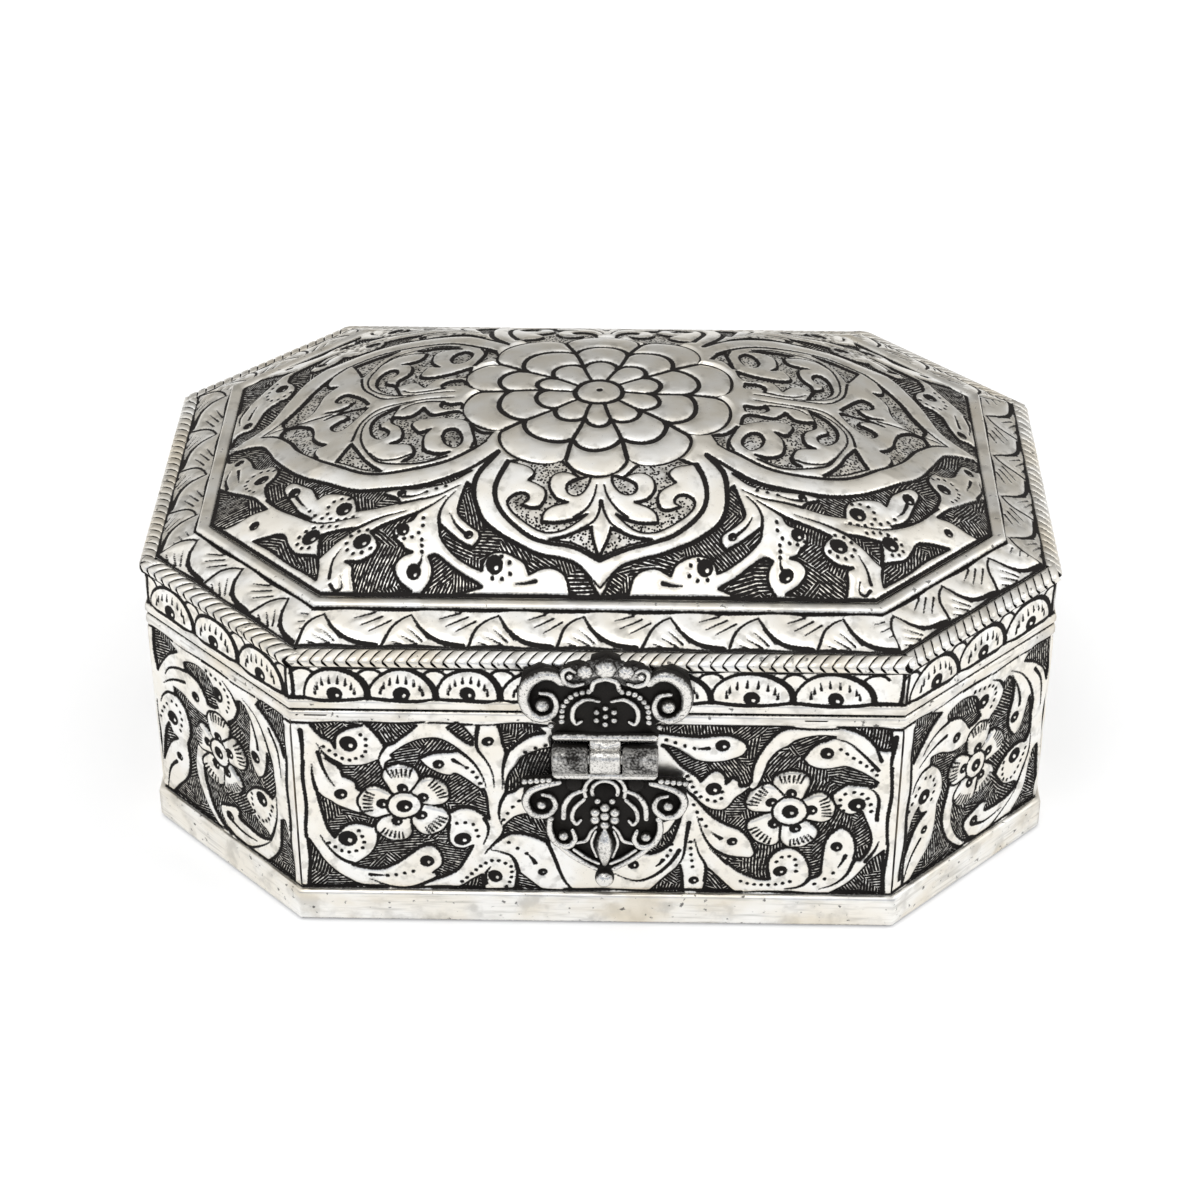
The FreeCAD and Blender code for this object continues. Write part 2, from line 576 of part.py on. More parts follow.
def hasp_upper_leaf(nail_places, nail_holes):
    """The leaf on the lid: shell lobes, scrolls at the nails, bead flower, rail and middle knuckle."""
    def level(share):
        return f"({HASP_RAIL} + {LEAF_HEIGHT} * {share})"

    plate = hasp_plate("leaf_plate", LEAF_OUTLINE_SHARES, level)
    solids = [plate, hasp_rail("leaf_rail", HASP_RAIL)]
    relief = "Sizes.hasp_thickness + Sizes.hasp_relief"
    for number, (across, below) in enumerate(LEAF_LOBE_SHARES):
        z = f"{HASP_TOP} - Sizes.lobe_radius - {LEAF_HEIGHT} * {below}"
        solids.append(disc(f"leaf_lobe_{number}", hasp_x(across), z, "Sizes.lobe_radius", relief))
    for number, (x, z) in enumerate(nail_places):
        solids.append(disc(f"leaf_scroll_{number}", x, z, "Sizes.scroll_radius", relief))
        solids.append(disc(f"leaf_foot_{number}", x, z, "Sizes.hasp_boss_radius", "Sizes.wall_setback",
                           HASP_BACK, "+Y"))
    solids += bead_flower("leaf_bead", level(LEAF_FLOWER_SHARE))
    half = "Sizes.hasp_knuckle / 2"
    solids += hasp_knuckle("leaf_knuckle", f"Sizes.hasp_offset - {half}", "Sizes.hasp_knuckle",
                           HASP_PIN, HASP_RAIL)
    across, up = LEAF_EYE_SHARES
    eyes = []
    for number, sign in enumerate((1, -1)):
        eyes.append(disc(f"leaf_eye_{number}", hasp_x(sign * across), level(up), "Sizes.eye_radius",
                         f"{relief} + Sizes.overrun"))
    blank = fuse("leaf_blank", solids)
    node("hasp_leaf", cut("leaf_shape", blank, group("leaf_cuts", eyes + [hasp_bore(), nail_holes])))


def hasp_lower_flap():
    """The flap: outer knuckles, rail, scrolls, bead flower, bud, finger knob and the hollow for the catch."""
    def level(share):
        return f"({FLAP_TOP} - {FLAP_HEIGHT} * {share})"

    rail_bottom = f"{FLAP_TOP} - Sizes.hasp_rail_depth"
    solids = [hasp_plate("flap_plate", FLAP_OUTLINE_SHARES, level), hasp_rail("flap_rail", rail_bottom)]
    relief = "Sizes.hasp_thickness + Sizes.hasp_relief"
    radii = ("Sizes.scroll_radius", "Sizes.small_scroll_radius")
    for number, ((across, down), radius) in enumerate(zip(FLAP_SCROLL_SHARES, radii)):
        for word, sign in (("right", 1), ("left", -1)):
            name = f"flap_{word}_scroll_{number}"
            solids.append(disc(name, hasp_x(sign * across), level(down), radius, relief))
    solids += bead_flower("flap_bead", level(FLAP_FLOWER_SHARE))
    bud_top, bud_bottom = (level(share) for share in FLAP_BUD_SHARES)
    solids.append(ball("flap_bud_head", (hasp_x(0), HASP_FACE, bud_top), "Sizes.bud_radius"))
    solids.append(cone("flap_bud_tail", (hasp_x(0), HASP_FACE, bud_bottom), "Sizes.bead_radius",
                       "Sizes.bud_radius", f"{bud_top} - {bud_bottom}", "Z"))
    knob_z = "(Sizes.hasp_tip_height - Sizes.knob_radius)"
    solids.append(disc("flap_knob", hasp_x(0), knob_z, "Sizes.knob_radius", relief))
    solids.append(block("flap_neck", (f"{hasp_x(0)} - Sizes.bead_radius", HASP_FACE, knob_z),
                        ("Sizes.bead_radius * 2", "Sizes.hasp_thickness", "Sizes.knob_radius * 2")))
    side_length = "(Sizes.hasp_rail_width / 2 - Sizes.hasp_knuckle / 2 - Sizes.knuckle_gap)"
    for word, start in (("left", "Sizes.hasp_offset - Sizes.hasp_rail_width / 2"),
                        ("right", "Sizes.hasp_offset + Sizes.hasp_knuckle / 2 + Sizes.knuckle_gap")):
        solids += hasp_knuckle(f"flap_{word}_knuckle", start, side_length, FLAP_TOP, HASP_PIN)
    across, down = FLAP_EYE_SHARES
    cuts = [hasp_bore()]
    for number, sign in enumerate((1, -1)):
        cuts.append(disc(f"flap_eye_{number}", hasp_x(sign * across), level(down), "Sizes.eye_radius",
                         f"{relief} + Sizes.overrun"))
    hollow_half = "(Sizes.catch_radius + Sizes.hollow_room)"
    hollow_low = "(Sizes.catch_height - Sizes.catch_radius - Sizes.hollow_drop)"
    hollow_corner = (f"{hasp_x(0)} - {hollow_half}", f"{HASP_BACK} - Sizes.hollow_depth", hollow_low)
    hollow_size = (f"{hollow_half} * 2", "Sizes.hollow_depth + Sizes.overrun",
                   f"Sizes.catch_height + {hollow_half} - {hollow_low}")
    cuts.append(block("flap_hollow", hollow_corner, hollow_size))
    node("hasp_flap", cut("flap_shape", fuse("flap_blank", solids), group("flap_cuts", cuts)))


def hasp_pin():
    start = ("Sizes.hasp_offset - Sizes.hasp_rail_width / 2", HASP_Y, HASP_PIN)
    node("hasp_pin", rod("hasp_pin_rod", start, "Sizes.hasp_pin_radius", "Sizes.hasp_rail_width", "X"))


def catch(nail_holes):
    """A small plate on the base with the round stud that sits in the flap's hollow."""
    wall_face = f"({HASP_BACK} + Sizes.wall_setback)"
    plate = block("catch_back", (f"{hasp_x(0)} - Sizes.catch_width / 2", f"{wall_face} - Sizes.catch_sheet",
                                 "Sizes.catch_height - Sizes.catch_length / 2"),
                  ("Sizes.catch_width", "Sizes.catch_sheet", "Sizes.catch_length"))
    stud = disc("catch_stud", hasp_x(0), "Sizes.catch_height", "Sizes.catch_radius",
                "Sizes.catch_sheet + Sizes.catch_reach", wall_face)
    node("catch_plate", cut("catch_shape", fuse("catch_blank", [plate, stud]), nail_holes))


def build():
    back_board = f"({BACK} - {WALL_IN})"
    front_board = f"({WALL_IN} - {BACK})"
    base_places = hinge_nail_places("Sizes.hinge_base_leaf", "-")
    base_nails, base_nail_holes = nails("hinge_base_nail_set", base_places, HINGE_OUT, back_board, "+Y")
    lid_places = hinge_nail_places(HINGE_LID_LEAF, "+")
    lid_nails, lid_nail_holes = nails("hinge_lid_nail_set", lid_places, HINGE_OUT, back_board, "+Y")
    hasp_places = [(f"(Sizes.hasp_offset {sign} Sizes.hasp_nail_spacing / 2)", HASP_NAIL)
                   for sign in ("-", "+")]
    hasp_nail_face = f"({HASP_FACE} - Sizes.hasp_relief)"
    hasp_nails, hasp_nail_holes = nails("hasp_nail_set", hasp_places, hasp_nail_face, front_board, "-Y")
    catch_places = [(f"(Sizes.hasp_offset {sign} Sizes.catch_nail_spacing / 2)", "Sizes.catch_height")
                    for sign in ("-", "+")]
    catch_face = f"({HASP_BACK} + Sizes.wall_setback - Sizes.catch_sheet)"
    catch_nails, catch_nail_holes = nails("catch_nail_set", catch_places, catch_face, front_board, "-Y",
                                          "Sizes.catch_head_height")
    base_carcass({"back": base_nail_holes, "front": catch_nail_holes})
    lid_carcass({"back": lid_nail_holes, "front": hasp_nail_holes})
    for word, middle in HINGES.items():
        hinge(word, middle, base_nail_holes, lid_nail_holes)
    node("hinge_base_nails", base_nails)
    node("hinge_lid_nails", lid_nails)
    hasp_upper_leaf(hasp_places, hasp_nail_holes)
    hasp_lower_flap()
    hasp_pin()
    node("hasp_nails", hasp_nails)
    catch(catch_nail_holes)
    node("catch_nails", catch_nails)


def check():
    """Stop before anything is written if a feature failed or a sub-part is empty or broken."""
    for item in doc.Objects:
        if "Invalid" in item.State or "Error" in item.State:
            raise RuntimeError(f"{item.Label} could not be built: {item.State}")
    for label, solid in SUBPARTS.items():
        if solid.Shape.isNull() or not solid.Shape.isValid() or not solid.Shape.Solids:
            raise RuntimeError(f"{label} has no valid solid")


def write():
    os.makedirs("parts", exist_ok=True)
    for label, solid in SUBPARTS.items():
        solid.Shape.exportStep(f"parts/{label}.step")
        box = solid.Shape.BoundBox
        print(f"{label}: {len(solid.Shape.Solids)} solid(s), {solid.Shape.Volume:.1f} mm3, "
              f"{box.XLength:.1f} x {box.YLength:.1f} x {box.ZLength:.1f}")


build()
doc.recompute()
check()
write()
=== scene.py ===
"""Looks of a chased white-metal trinket box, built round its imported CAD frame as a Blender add-on.

Ornament is drawn in millimetres on each panel, as raised shapes, blackened marks and hatched ground.
It becomes real relief in dense sheet meshes. The distance to each mark is kept on the mesh, so that the
metal's material can blacken the marks with crisp edges. Finished pieces are in metres, in the frame's
own place.
"""
import math

import bpy
import numpy as np
from mathutils import Matrix, Vector


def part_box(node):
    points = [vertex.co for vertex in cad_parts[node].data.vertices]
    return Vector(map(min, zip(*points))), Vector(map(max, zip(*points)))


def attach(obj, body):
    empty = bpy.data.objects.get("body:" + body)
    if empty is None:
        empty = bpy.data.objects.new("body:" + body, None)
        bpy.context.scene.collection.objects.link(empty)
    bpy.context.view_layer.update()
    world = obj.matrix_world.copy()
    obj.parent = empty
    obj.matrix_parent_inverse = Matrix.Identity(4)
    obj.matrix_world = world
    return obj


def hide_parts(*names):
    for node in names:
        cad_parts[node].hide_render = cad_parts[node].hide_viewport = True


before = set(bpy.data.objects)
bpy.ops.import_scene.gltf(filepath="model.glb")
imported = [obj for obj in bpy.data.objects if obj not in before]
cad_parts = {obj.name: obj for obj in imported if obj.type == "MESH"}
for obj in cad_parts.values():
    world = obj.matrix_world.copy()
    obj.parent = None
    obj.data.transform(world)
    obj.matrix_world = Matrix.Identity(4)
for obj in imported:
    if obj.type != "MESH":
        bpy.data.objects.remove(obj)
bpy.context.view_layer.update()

bl_info = {
    "name": "Chased Trinket Box",
    "version": (1, 0, 0),
    "blender": (4, 5, 0),
    "location": "View3D > Sidebar > Chased Box",
    "description": "Builds an octagonal chased metal box with a domed lid and a cast hasp",
    "category": "Add Mesh",
}

# A millimetre in metres, a distance past any mark, and how far apart columns stand for each row's spacing
MM = 0.001
FAR = 9.0
BAND_SPACING = 1.1
SIDES = ("front", "front_right", "right", "back_right", "back", "back_left", "left", "front_left")


def node_box(name):
    """Lowest and highest corner of a CAD node, in millimetres."""
    low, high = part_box(name)
    return np.array(low) / MM, np.array(high) / MM


# Main measures of the box, read from the frame
RIM_LOW, RIM_HIGH = node_box("lid_rope_rim")
FRONT_LOW, FRONT_HIGH = node_box("base_front_plate")
SKIRT_LOW, SKIRT_HIGH = node_box("lid_skirt_sheet")
LID_BEAD_LOW, LID_BEAD_HIGH = node_box("lid_lower_bead")
BASE_BEAD_LOW, BASE_BEAD_HIGH = node_box("base_top_bead")
PLINTH_LOW, PLINTH_HIGH = node_box("plinth_sheet")
TOP_LOW, TOP_HIGH = node_box("lid_top_sheet")
PIN_LOW, PIN_HIGH = node_box("hasp_pin")
HALF_LENGTH, HALF_DEPTH = RIM_HIGH[0], RIM_HIGH[1]
DIAGONAL_SHARE = 2 - math.sqrt(2)
WALL_INSET = HALF_DEPTH + FRONT_LOW[1]
SHEET = FRONT_HIGH[1] - FRONT_LOW[1]
BEAD_INSET = HALF_LENGTH - LID_BEAD_HIGH[0]
PLINTH_INSET = HALF_LENGTH - PLINTH_HIGH[0]
CORNER_CUT = HALF_LENGTH - WALL_INSET * (1 - DIAGONAL_SHARE) - FRONT_HIGH[0]
GROOVE_INSET = HALF_LENGTH - TOP_HIGH[0]
HASP_X, PIN_Y, PIN_Z = (PIN_LOW + PIN_HIGH) / 2
HASP_BACK_Y = RIM_LOW[1]


# Octagon

def corners(inset):
    """Corners of the box's outline moved in by an inset: front left first, then anticlockwise."""
    half_length = HALF_LENGTH - inset
    half_depth = HALF_DEPTH - inset
    cut = CORNER_CUT - inset * DIAGONAL_SHARE
    front = half_length - cut
    side = half_depth - cut
    right = [(front, -half_depth), (half_length, -side), (half_length, side), (front, half_depth)]
    left = [(-x, -y) for x, y in right]
    return np.array([left[3]] + right + left[:3])


def side_ends(inset):
    """First and last corner of each side at one inset."""
    start = corners(inset)
    return start, np.roll(start, -1, axis=0)


def side_columns(spacing, shares=(1,) * 8):
    """Side number and share along it, for columns round the outline; shares widen the spacing of a side."""
    start, end = side_ends(0)
    columns = []
    for side, length in enumerate(np.linalg.norm(end - start, axis=1)):
        count = max(2, round(length / spacing / shares[side]))
        columns += [(side, step / count) for step in range(count)]
    return np.array(columns)


def outline_points(columns, inset):
    """Plan places of those columns at one inset."""
    start, end = side_ends(inset)
    side = columns[:, 0].astype(int)
    return start[side] + (end[side] - start[side]) * columns[:, 1:]


def side_direction(side):
    """Unit vectors along one side, left to right as seen from outside, and outward from it."""
    start, end = side_ends(0)
    along = end[side] - start[side]
    along = along / np.linalg.norm(along)
    return along, np.array([along[1], -along[0]])


# Curves

def smooth(points, steps=5):
    """Points on a curve through some given points, with any further columns carried along."""
    given = np.asarray(points, float)
    if len(given) < 3:
        return given
    padded = np.vstack([2 * given[0] - given[1], given, 2 * given[-1] - given[-2]])
    t = np.linspace(0, 1, steps, endpoint=False)[:, None]
    runs = []
    for a, b, c, d in zip(padded, padded[1:], padded[2:], padded[3:]):
        bend = (2 * a - 5 * b + 4 * c - d) * t ** 2 + (3 * b - a - 3 * c + d) * t ** 3
        runs.append(0.5 * (2 * b + (c - a) * t + bend))
    return np.vstack(runs + [given[-1:]])


def spread(path, count):
    """Equally spaced places along a polyline."""
    steps = np.linalg.norm(np.diff(path, axis=0), axis=1)
    travelled = np.concatenate([[0], np.cumsum(steps)])
    wanted = np.linspace(0, travelled[-1], count)
    return np.stack([np.interp(wanted, travelled, path[:, axis]) for axis in range(path.shape[1])], axis=1)


def arc(centre, radius, start, end, count):
    """Places on a circle between two angles in degrees."""
    turn = np.radians(np.linspace(start, end, count))
    return [(centre[0] + radius * math.cos(t), centre[1] + radius * math.sin(t)) for t in turn]


def gap_to(start, end, x, y):
    """Distance of places from a straight line, and the share of the line that is nearest to each."""
    (ax, ay), (bx, by) = start, end
    share = ((x - ax) * (bx - ax) + (y - ay) * (by - ay)) / max((bx - ax) ** 2 + (by - ay) ** 2, 1e-9)
    share = np.clip(share, 0, 1)
    return np.hypot(x - ax - share * (bx - ax), y - ay - share * (by - ay)), share


# Chasing: wobble of the hand, reach of shapes and marks, width of outlines, rise of metal, depth of marks
WOBBLE = 0.16
SHAPE_REACH = 1.6
MARK_REACH = 1.2
OUTLINE = 0.42
METAL_RISE = 0.34
MARK_DEPTH = 0.14


class Chasing:
    """Ornament drawn on a panel in millimetres: relief, distance to blackened marks, and ground."""

    def __init__(self, across, up, seed):
        self.form = across.shape
        self.across = (across + WOBBLE * np.sin(0.55 * up + 0.31 * across + seed)).ravel()
        self.up = (up + WOBBLE * np.sin(0.47 * across - 0.36 * up + 2 * seed)).ravel()
        self.relief = np.zeros(across.size)
        self.ink = np.full(across.size, FAR)
        self.ground = np.full(across.size, -FAR)
        self.stipple = np.full(across.size, FAR)
        self.put()

    def put(self, flip=(1, 1), shift=(0, 0)):
        """Mirror and move what is drawn next."""
        self.flip = np.array(flip, float)
        self.shift = np.array(shift, float)

    def placed(self, points):
        """Points where they are drawn, once mirrored and moved."""
        given = np.array(points, float)
        given[:, :2] = given[:, :2] * self.flip + self.shift
        return given

    def near(self, points, reach):
        """Numbers and coordinates of the places in the box round some points."""
        low, high = points.min(axis=0) - reach, points.max(axis=0) + reach
        beside = (self.across > low[0]) & (self.across < high[0])
        places = np.flatnonzero(beside & (self.up > low[1]) & (self.up < high[1]))
        return places, self.across[places], self.up[places]

    def distance(self, chains, reach):
        """Places near round-ended chains of (across, up, half width), and how far outside them each is."""
        paths = [self.placed(smooth(chain)) for chain in chains]
        every = np.vstack(paths)
        places, x, y = self.near(every[:, :2], reach + every[:, 2].max())
        nearest = np.full(len(places), FAR)
        for path in paths:
            ends = path if len(path) > 1 else np.vstack([path, path])
            for (ax, ay, ar), (bx, by, br) in zip(ends, ends[1:]):
                gap, share = gap_to((ax, ay), (bx, by), x, y)
                nearest = np.minimum(nearest, gap - np.maximum(ar + (br - ar) * share, 0.04))
        return places, nearest

    def within(self, outline):
        """Places near a closed outline, and how deep inside it each one lies."""
        path = self.placed(outline)
        places, x, y = self.near(path, SHAPE_REACH)
        nearest = np.full(len(places), FAR)
        inside = np.zeros(len(places), bool)
        for (ax, ay), (bx, by) in zip(path, np.roll(path, -1, axis=0)):
            nearest = np.minimum(nearest, gap_to((ax, ay), (bx, by), x, y)[0])
            if ay != by:
                inside ^= ((ay > y) != (by > y)) & (x < (bx - ax) * (y - ay) / (by - ay) + ax)
        return places, np.where(inside, nearest, -nearest)

    def sink(self, runs, line=0.46):
        """Lower the ground inside an outline of curved runs that meet at cusps, and edge it in black."""
        closed = [(*run, after[0]) for run, after in zip(runs, (*runs[1:], runs[0]))]
        places, depth = self.within(np.vstack([smooth(run) for run in closed]))
        self.ground[places] = np.maximum(self.ground[places], depth)
        self.ink[places] = np.minimum(self.ink[places], np.abs(depth) - line / 2)

    def raised(self, *chains, rise, edge):
        """A shape that stands up from the ground and covers what is under it, with a black outline."""
        places, outside = self.distance(chains, SHAPE_REACH)
        share = np.clip(-outside / edge, 0, 1)
        pillow = rise * np.sqrt(1 - (1 - share) ** 2)
        within = outside < 0
        self.relief[places] = np.where(within, pillow, self.relief[places])
        kept = np.where(within, FAR, self.ink[places])
        self.ink[places] = np.minimum(kept, np.abs(outside - OUTLINE / 2) - OUTLINE / 2)
        self.ground[places] = np.minimum(self.ground[places], outside)

    def blacken(self, chain):
        """Blacken one chain of (across, up, half width)."""
        places, outside = self.distance([chain], MARK_REACH)
        self.ink[places] = np.minimum(self.ink[places], outside)

    def stroke(self, points, half, end=None):
        """A blackened cut along some points, tapering if it has another half width at its end."""
        widths = np.linspace(half, half if end is None else end, len(points))
        self.blacken(np.column_stack([points, widths]))

    def dot(self, place, radius):
        """One round blackened mark."""
        self.blacken([(*place, radius)])

    def dot_row(self, points, pitch, radius):
        """Three or more dots along a curve, about one pitch apart."""
        path = smooth(points)
        length = np.linalg.norm(np.diff(path, axis=0), axis=1).sum()
        for place in spread(path, max(3, round(length / pitch))):
            self.dot(place, radius)

    def eye(self, place, radius):
        """A punched pit: black, with a painted highlight on its floor, off its middle towards the lower
        right.
        """
        places, outside = self.distance([[(*place, radius)]], MARK_REACH)
        x, y = self.placed([place])[0]
        # Painted highlight: a spot left unblackened, off to the lower right
        over = self.across[places] - x - 0.25 * radius
        above = self.up[places] - y + 0.3 * radius
        lit = np.hypot(over, above) - 0.26 * radius
        self.ink[places] = np.minimum(self.ink[places], np.maximum(outside, -lit))
        self.relief[places] -= 0.3 * np.clip(-outside / radius, 0, 1)

    def stippled(self, outline):
        """Mark the ground within an outline as stippled."""
        places, depth = self.within(outline)
        self.stipple[places[depth > 0]] = -1.0

    def swell(self, reach):
        """0 at the black lines, and nearly 1 a few reaches away from them."""
        return 1 - np.exp(-np.clip(self.ink, 0, FAR) / reach)

    def raise_metal(self):
        """Stand the metal above the sunk ground, and swell it a little between its black lines."""
        share = np.clip(0.5 - self.ground / 0.5, 0, 1)
        self.relief += METAL_RISE * share * share * (3 - 2 * share)
        self.relief += 0.16 * share * self.swell(0.7)

    def cut_marks(self):
        """Sink the blackened marks into the relief."""
        self.relief -= MARK_DEPTH * np.clip(0.5 - self.ink / 0.3, 0, 1)

    def fields(self):
        """What the metal's material needs to know at each place."""
        names = ("ink", "ground", "stipple", "across", "up")
        return {name: getattr(self, name).reshape(self.form) for name in names}


# Meshes

def grid_quads(rows, columns, wrap_rows, wrap_columns):
    """Corner numbers of the faces of a grid, closed round in either direction."""
    row = np.arange(rows if wrap_rows else rows - 1)
    column = np.arange(columns if wrap_columns else columns - 1)
    row, column = np.meshgrid(row, column, indexing="ij")
    after_row, after_column = (row + 1) % rows, (column + 1) % columns
    quads = (row * columns + column, row * columns + after_column,
             after_row * columns + after_column, after_row * columns + column)
    return np.stack(quads, axis=-1).reshape(-1, 4)


def fan(loop, pole):
    """Triangles from a loop of points to its pole."""
    return np.stack([loop, np.roll(loop, -1), np.full(len(loop), pole)], axis=1)


class Mesh:
    """Points, faces and surface fields of a piece, in millimetres, before it becomes a Blender mesh."""

    def __init__(self):
        self.points = []
        self.faces = []
        self.fields = {}
        self.creases = []
        self.count = 0

    def add(self, points, faces, fields=None, crease=None):
        """Add a closed part, turned so that its faces point outwards."""
        points = np.asarray(points, float).reshape(-1, 3)
        volume = 0.0
        for group in faces:
            a, b = points[group[:, 0]], points[group[:, 1]]
            for corner in range(2, group.shape[1]):
                c = points[group[:, corner]]
                volume += np.einsum("ij,ij->i", a, np.cross(b, c)).sum()
                b = c
        turned = [group[:, ::-1] if volume < 0 else group for group in faces]
        self.faces += [(group + self.count).tolist() for group in turned]
        self.points.append(points)
        known = fields or {}
        for name in sorted({*self.fields, *known}):
            earlier = self.fields.setdefault(name, [np.full(self.count, FAR)] if self.count else [])
            given = known.get(name, np.full(len(points), FAR))
            earlier.append(np.asarray(given, float).ravel())
        self.creases.append(np.zeros(len(points), bool) if crease is None else np.asarray(crease).ravel())
        self.count += len(points)

    def ring(self, rows, fields=None, crease=None):
        """A tube of rows that closes on itself both ways."""
        count, width = rows.shape[:2]
        self.add(rows, [grid_quads(count, width, True, True)], fields, crease)

    def cap(self, rows, fields=None):
        """Rows of closed loops with a pole over the first and under the last."""
        count, width = rows.shape[:2]
        poles = np.array([rows[0].mean(axis=0), rows[-1].mean(axis=0)])
        loop = np.arange(width)
        faces = [grid_quads(count, width, False, True), fan(loop[::-1], count * width),
                 fan(loop + (count - 1) * width, count * width + 1)]
        held = {name: np.append(given.ravel(), [given[0].mean(), given[-1].mean()])
                for name, given in (fields or {}).items()}
        self.add(np.vstack([rows.reshape(-1, 3), poles]), faces, held)

    def folded(self, front, rear, fields):
        """A chased front with sharp edges, closed by two rows behind it."""
        rows = np.concatenate([front, rear])
        crease = np.zeros(rows.shape[:2], bool)
        crease[[0, -3, -2, -1]] = True
        self.ring(rows, backed(fields, len(rear)), crease)

    def plate(self, front, back, fields):
        """A front grid with its edges turned back to a flat rear."""
        rows, columns = front.shape[:2]
        number = np.arange(rows * columns).reshape(rows, columns)
        loop = np.concatenate([number[0, :-1], number[:-1, -1], number[-1, :0:-1], number[:0:-1, 0]])
        rear = back.reshape(-1, 3)[loop]
        first = rows * columns
        behind = first + np.arange(len(loop))
        edge = np.stack([loop, behind, np.roll(behind, -1), np.roll(loop, -1)], axis=1)
        pole = first + len(loop)
        faces = [grid_quads(rows, columns, False, False), edge, fan(behind[::-1], pole)]
        points = np.vstack([front.reshape(-1, 3), rear, rear.mean(axis=0)])
        blank = np.full(len(loop) + 1, FAR)
        held = {name: np.append(given.ravel(), blank) for name, given in fields.items()}
        flags = np.zeros(len(points), bool)
        flags[loop] = True
        flags[behind] = True
        self.add(points, faces, held, flags)

    def data(self, name):
        """Blender mesh data with smooth faces, surface fields and sharp creases."""
        mesh = bpy.data.meshes.new(name)
        faces = [face for group in self.faces for face in group]
        mesh.from_pydata((np.vstack(self.points) * MM).tolist(), [], faces)
        mesh.polygons.foreach_set("use_smooth", np.ones(len(mesh.polygons), bool))
        for label, given in self.fields.items():
            attribute = mesh.attributes.new(label, "FLOAT", "POINT")
            attribute.data.foreach_set("value", np.concatenate(given).astype(np.float32))
        flags = np.concatenate(self.creases)
        ends = np.zeros(len(mesh.edges) * 2, np.int32)
        mesh.edges.foreach_get("vertices", ends)
        sharp = mesh.attributes.new("sharp_edge", "BOOLEAN", "EDGE")
        sharp.data.foreach_set("value", flags[ends].reshape(-1, 2).all(axis=1))
        mesh.update()
        return mesh

    def piece(self, name, material, body, slot, nodes):
        """Finish as an object that rides on a body and stands for some CAD nodes."""
        mesh = self.data(name)
        mesh.materials.append(material)
        return settle(bpy.data.objects.new(name, mesh), body, nodes)


def settle(piece, body, nodes):
    """Link a finished piece, hang it on its body, and hide the CAD nodes that it stands for."""
    if piece.name not in bpy.context.scene.collection.objects:
        bpy.context.scene.collection.objects.link(piece)
    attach(piece, body)
    if nodes:
        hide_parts(*nodes)
    return piece


# Finishes

class Field:
    """A number or colour that varies over a surface: a shader socket that takes part in arithmetic."""

    def __init__(self, finish, socket):
        self.finish = finish
        self.socket = socket

    def math(self, operation, *values):
        return self.finish.node("ShaderNodeMath", {"operation": operation}, dict(enumerate(values)))

    def __add__(self, other):
        return self.math("ADD", self, other)

    def __radd__(self, other):
        return self.math("ADD", other, self)

    def __sub__(self, other):
        return self.math("SUBTRACT", self, other)

    def __rsub__(self, other):
        return self.math("SUBTRACT", other, self)

    def __mul__(self, other):
        return self.math("MULTIPLY", self, other)

    def __truediv__(self, other):
        return self.math("DIVIDE", self, other)

    def __or__(self, other):
        return self.math("MAXIMUM", self, other)

    def between(self, low, high):
        """0 below one limit and 1 above the other, with a soft step from one to the other."""
        return self.finish.node("ShaderNodeMapRange", {"interpolation_type": "SMOOTHSTEP"},
                                {"Value": self, "From Min": low, "From Max": high})


def new_node(tree, kind, settings, inputs):
    """One node of any type: its settings first, then the values or links of its sockets."""
    made = tree.nodes.new(kind)
    for name, value in (settings or {}).items():
        setattr(made, name, value)
    for key, value in (inputs or {}).items():
        if isinstance(value, bpy.types.NodeSocket):
            tree.links.new(value, made.inputs[key])
        else:
            made.inputs[key].default_value = value
    return made


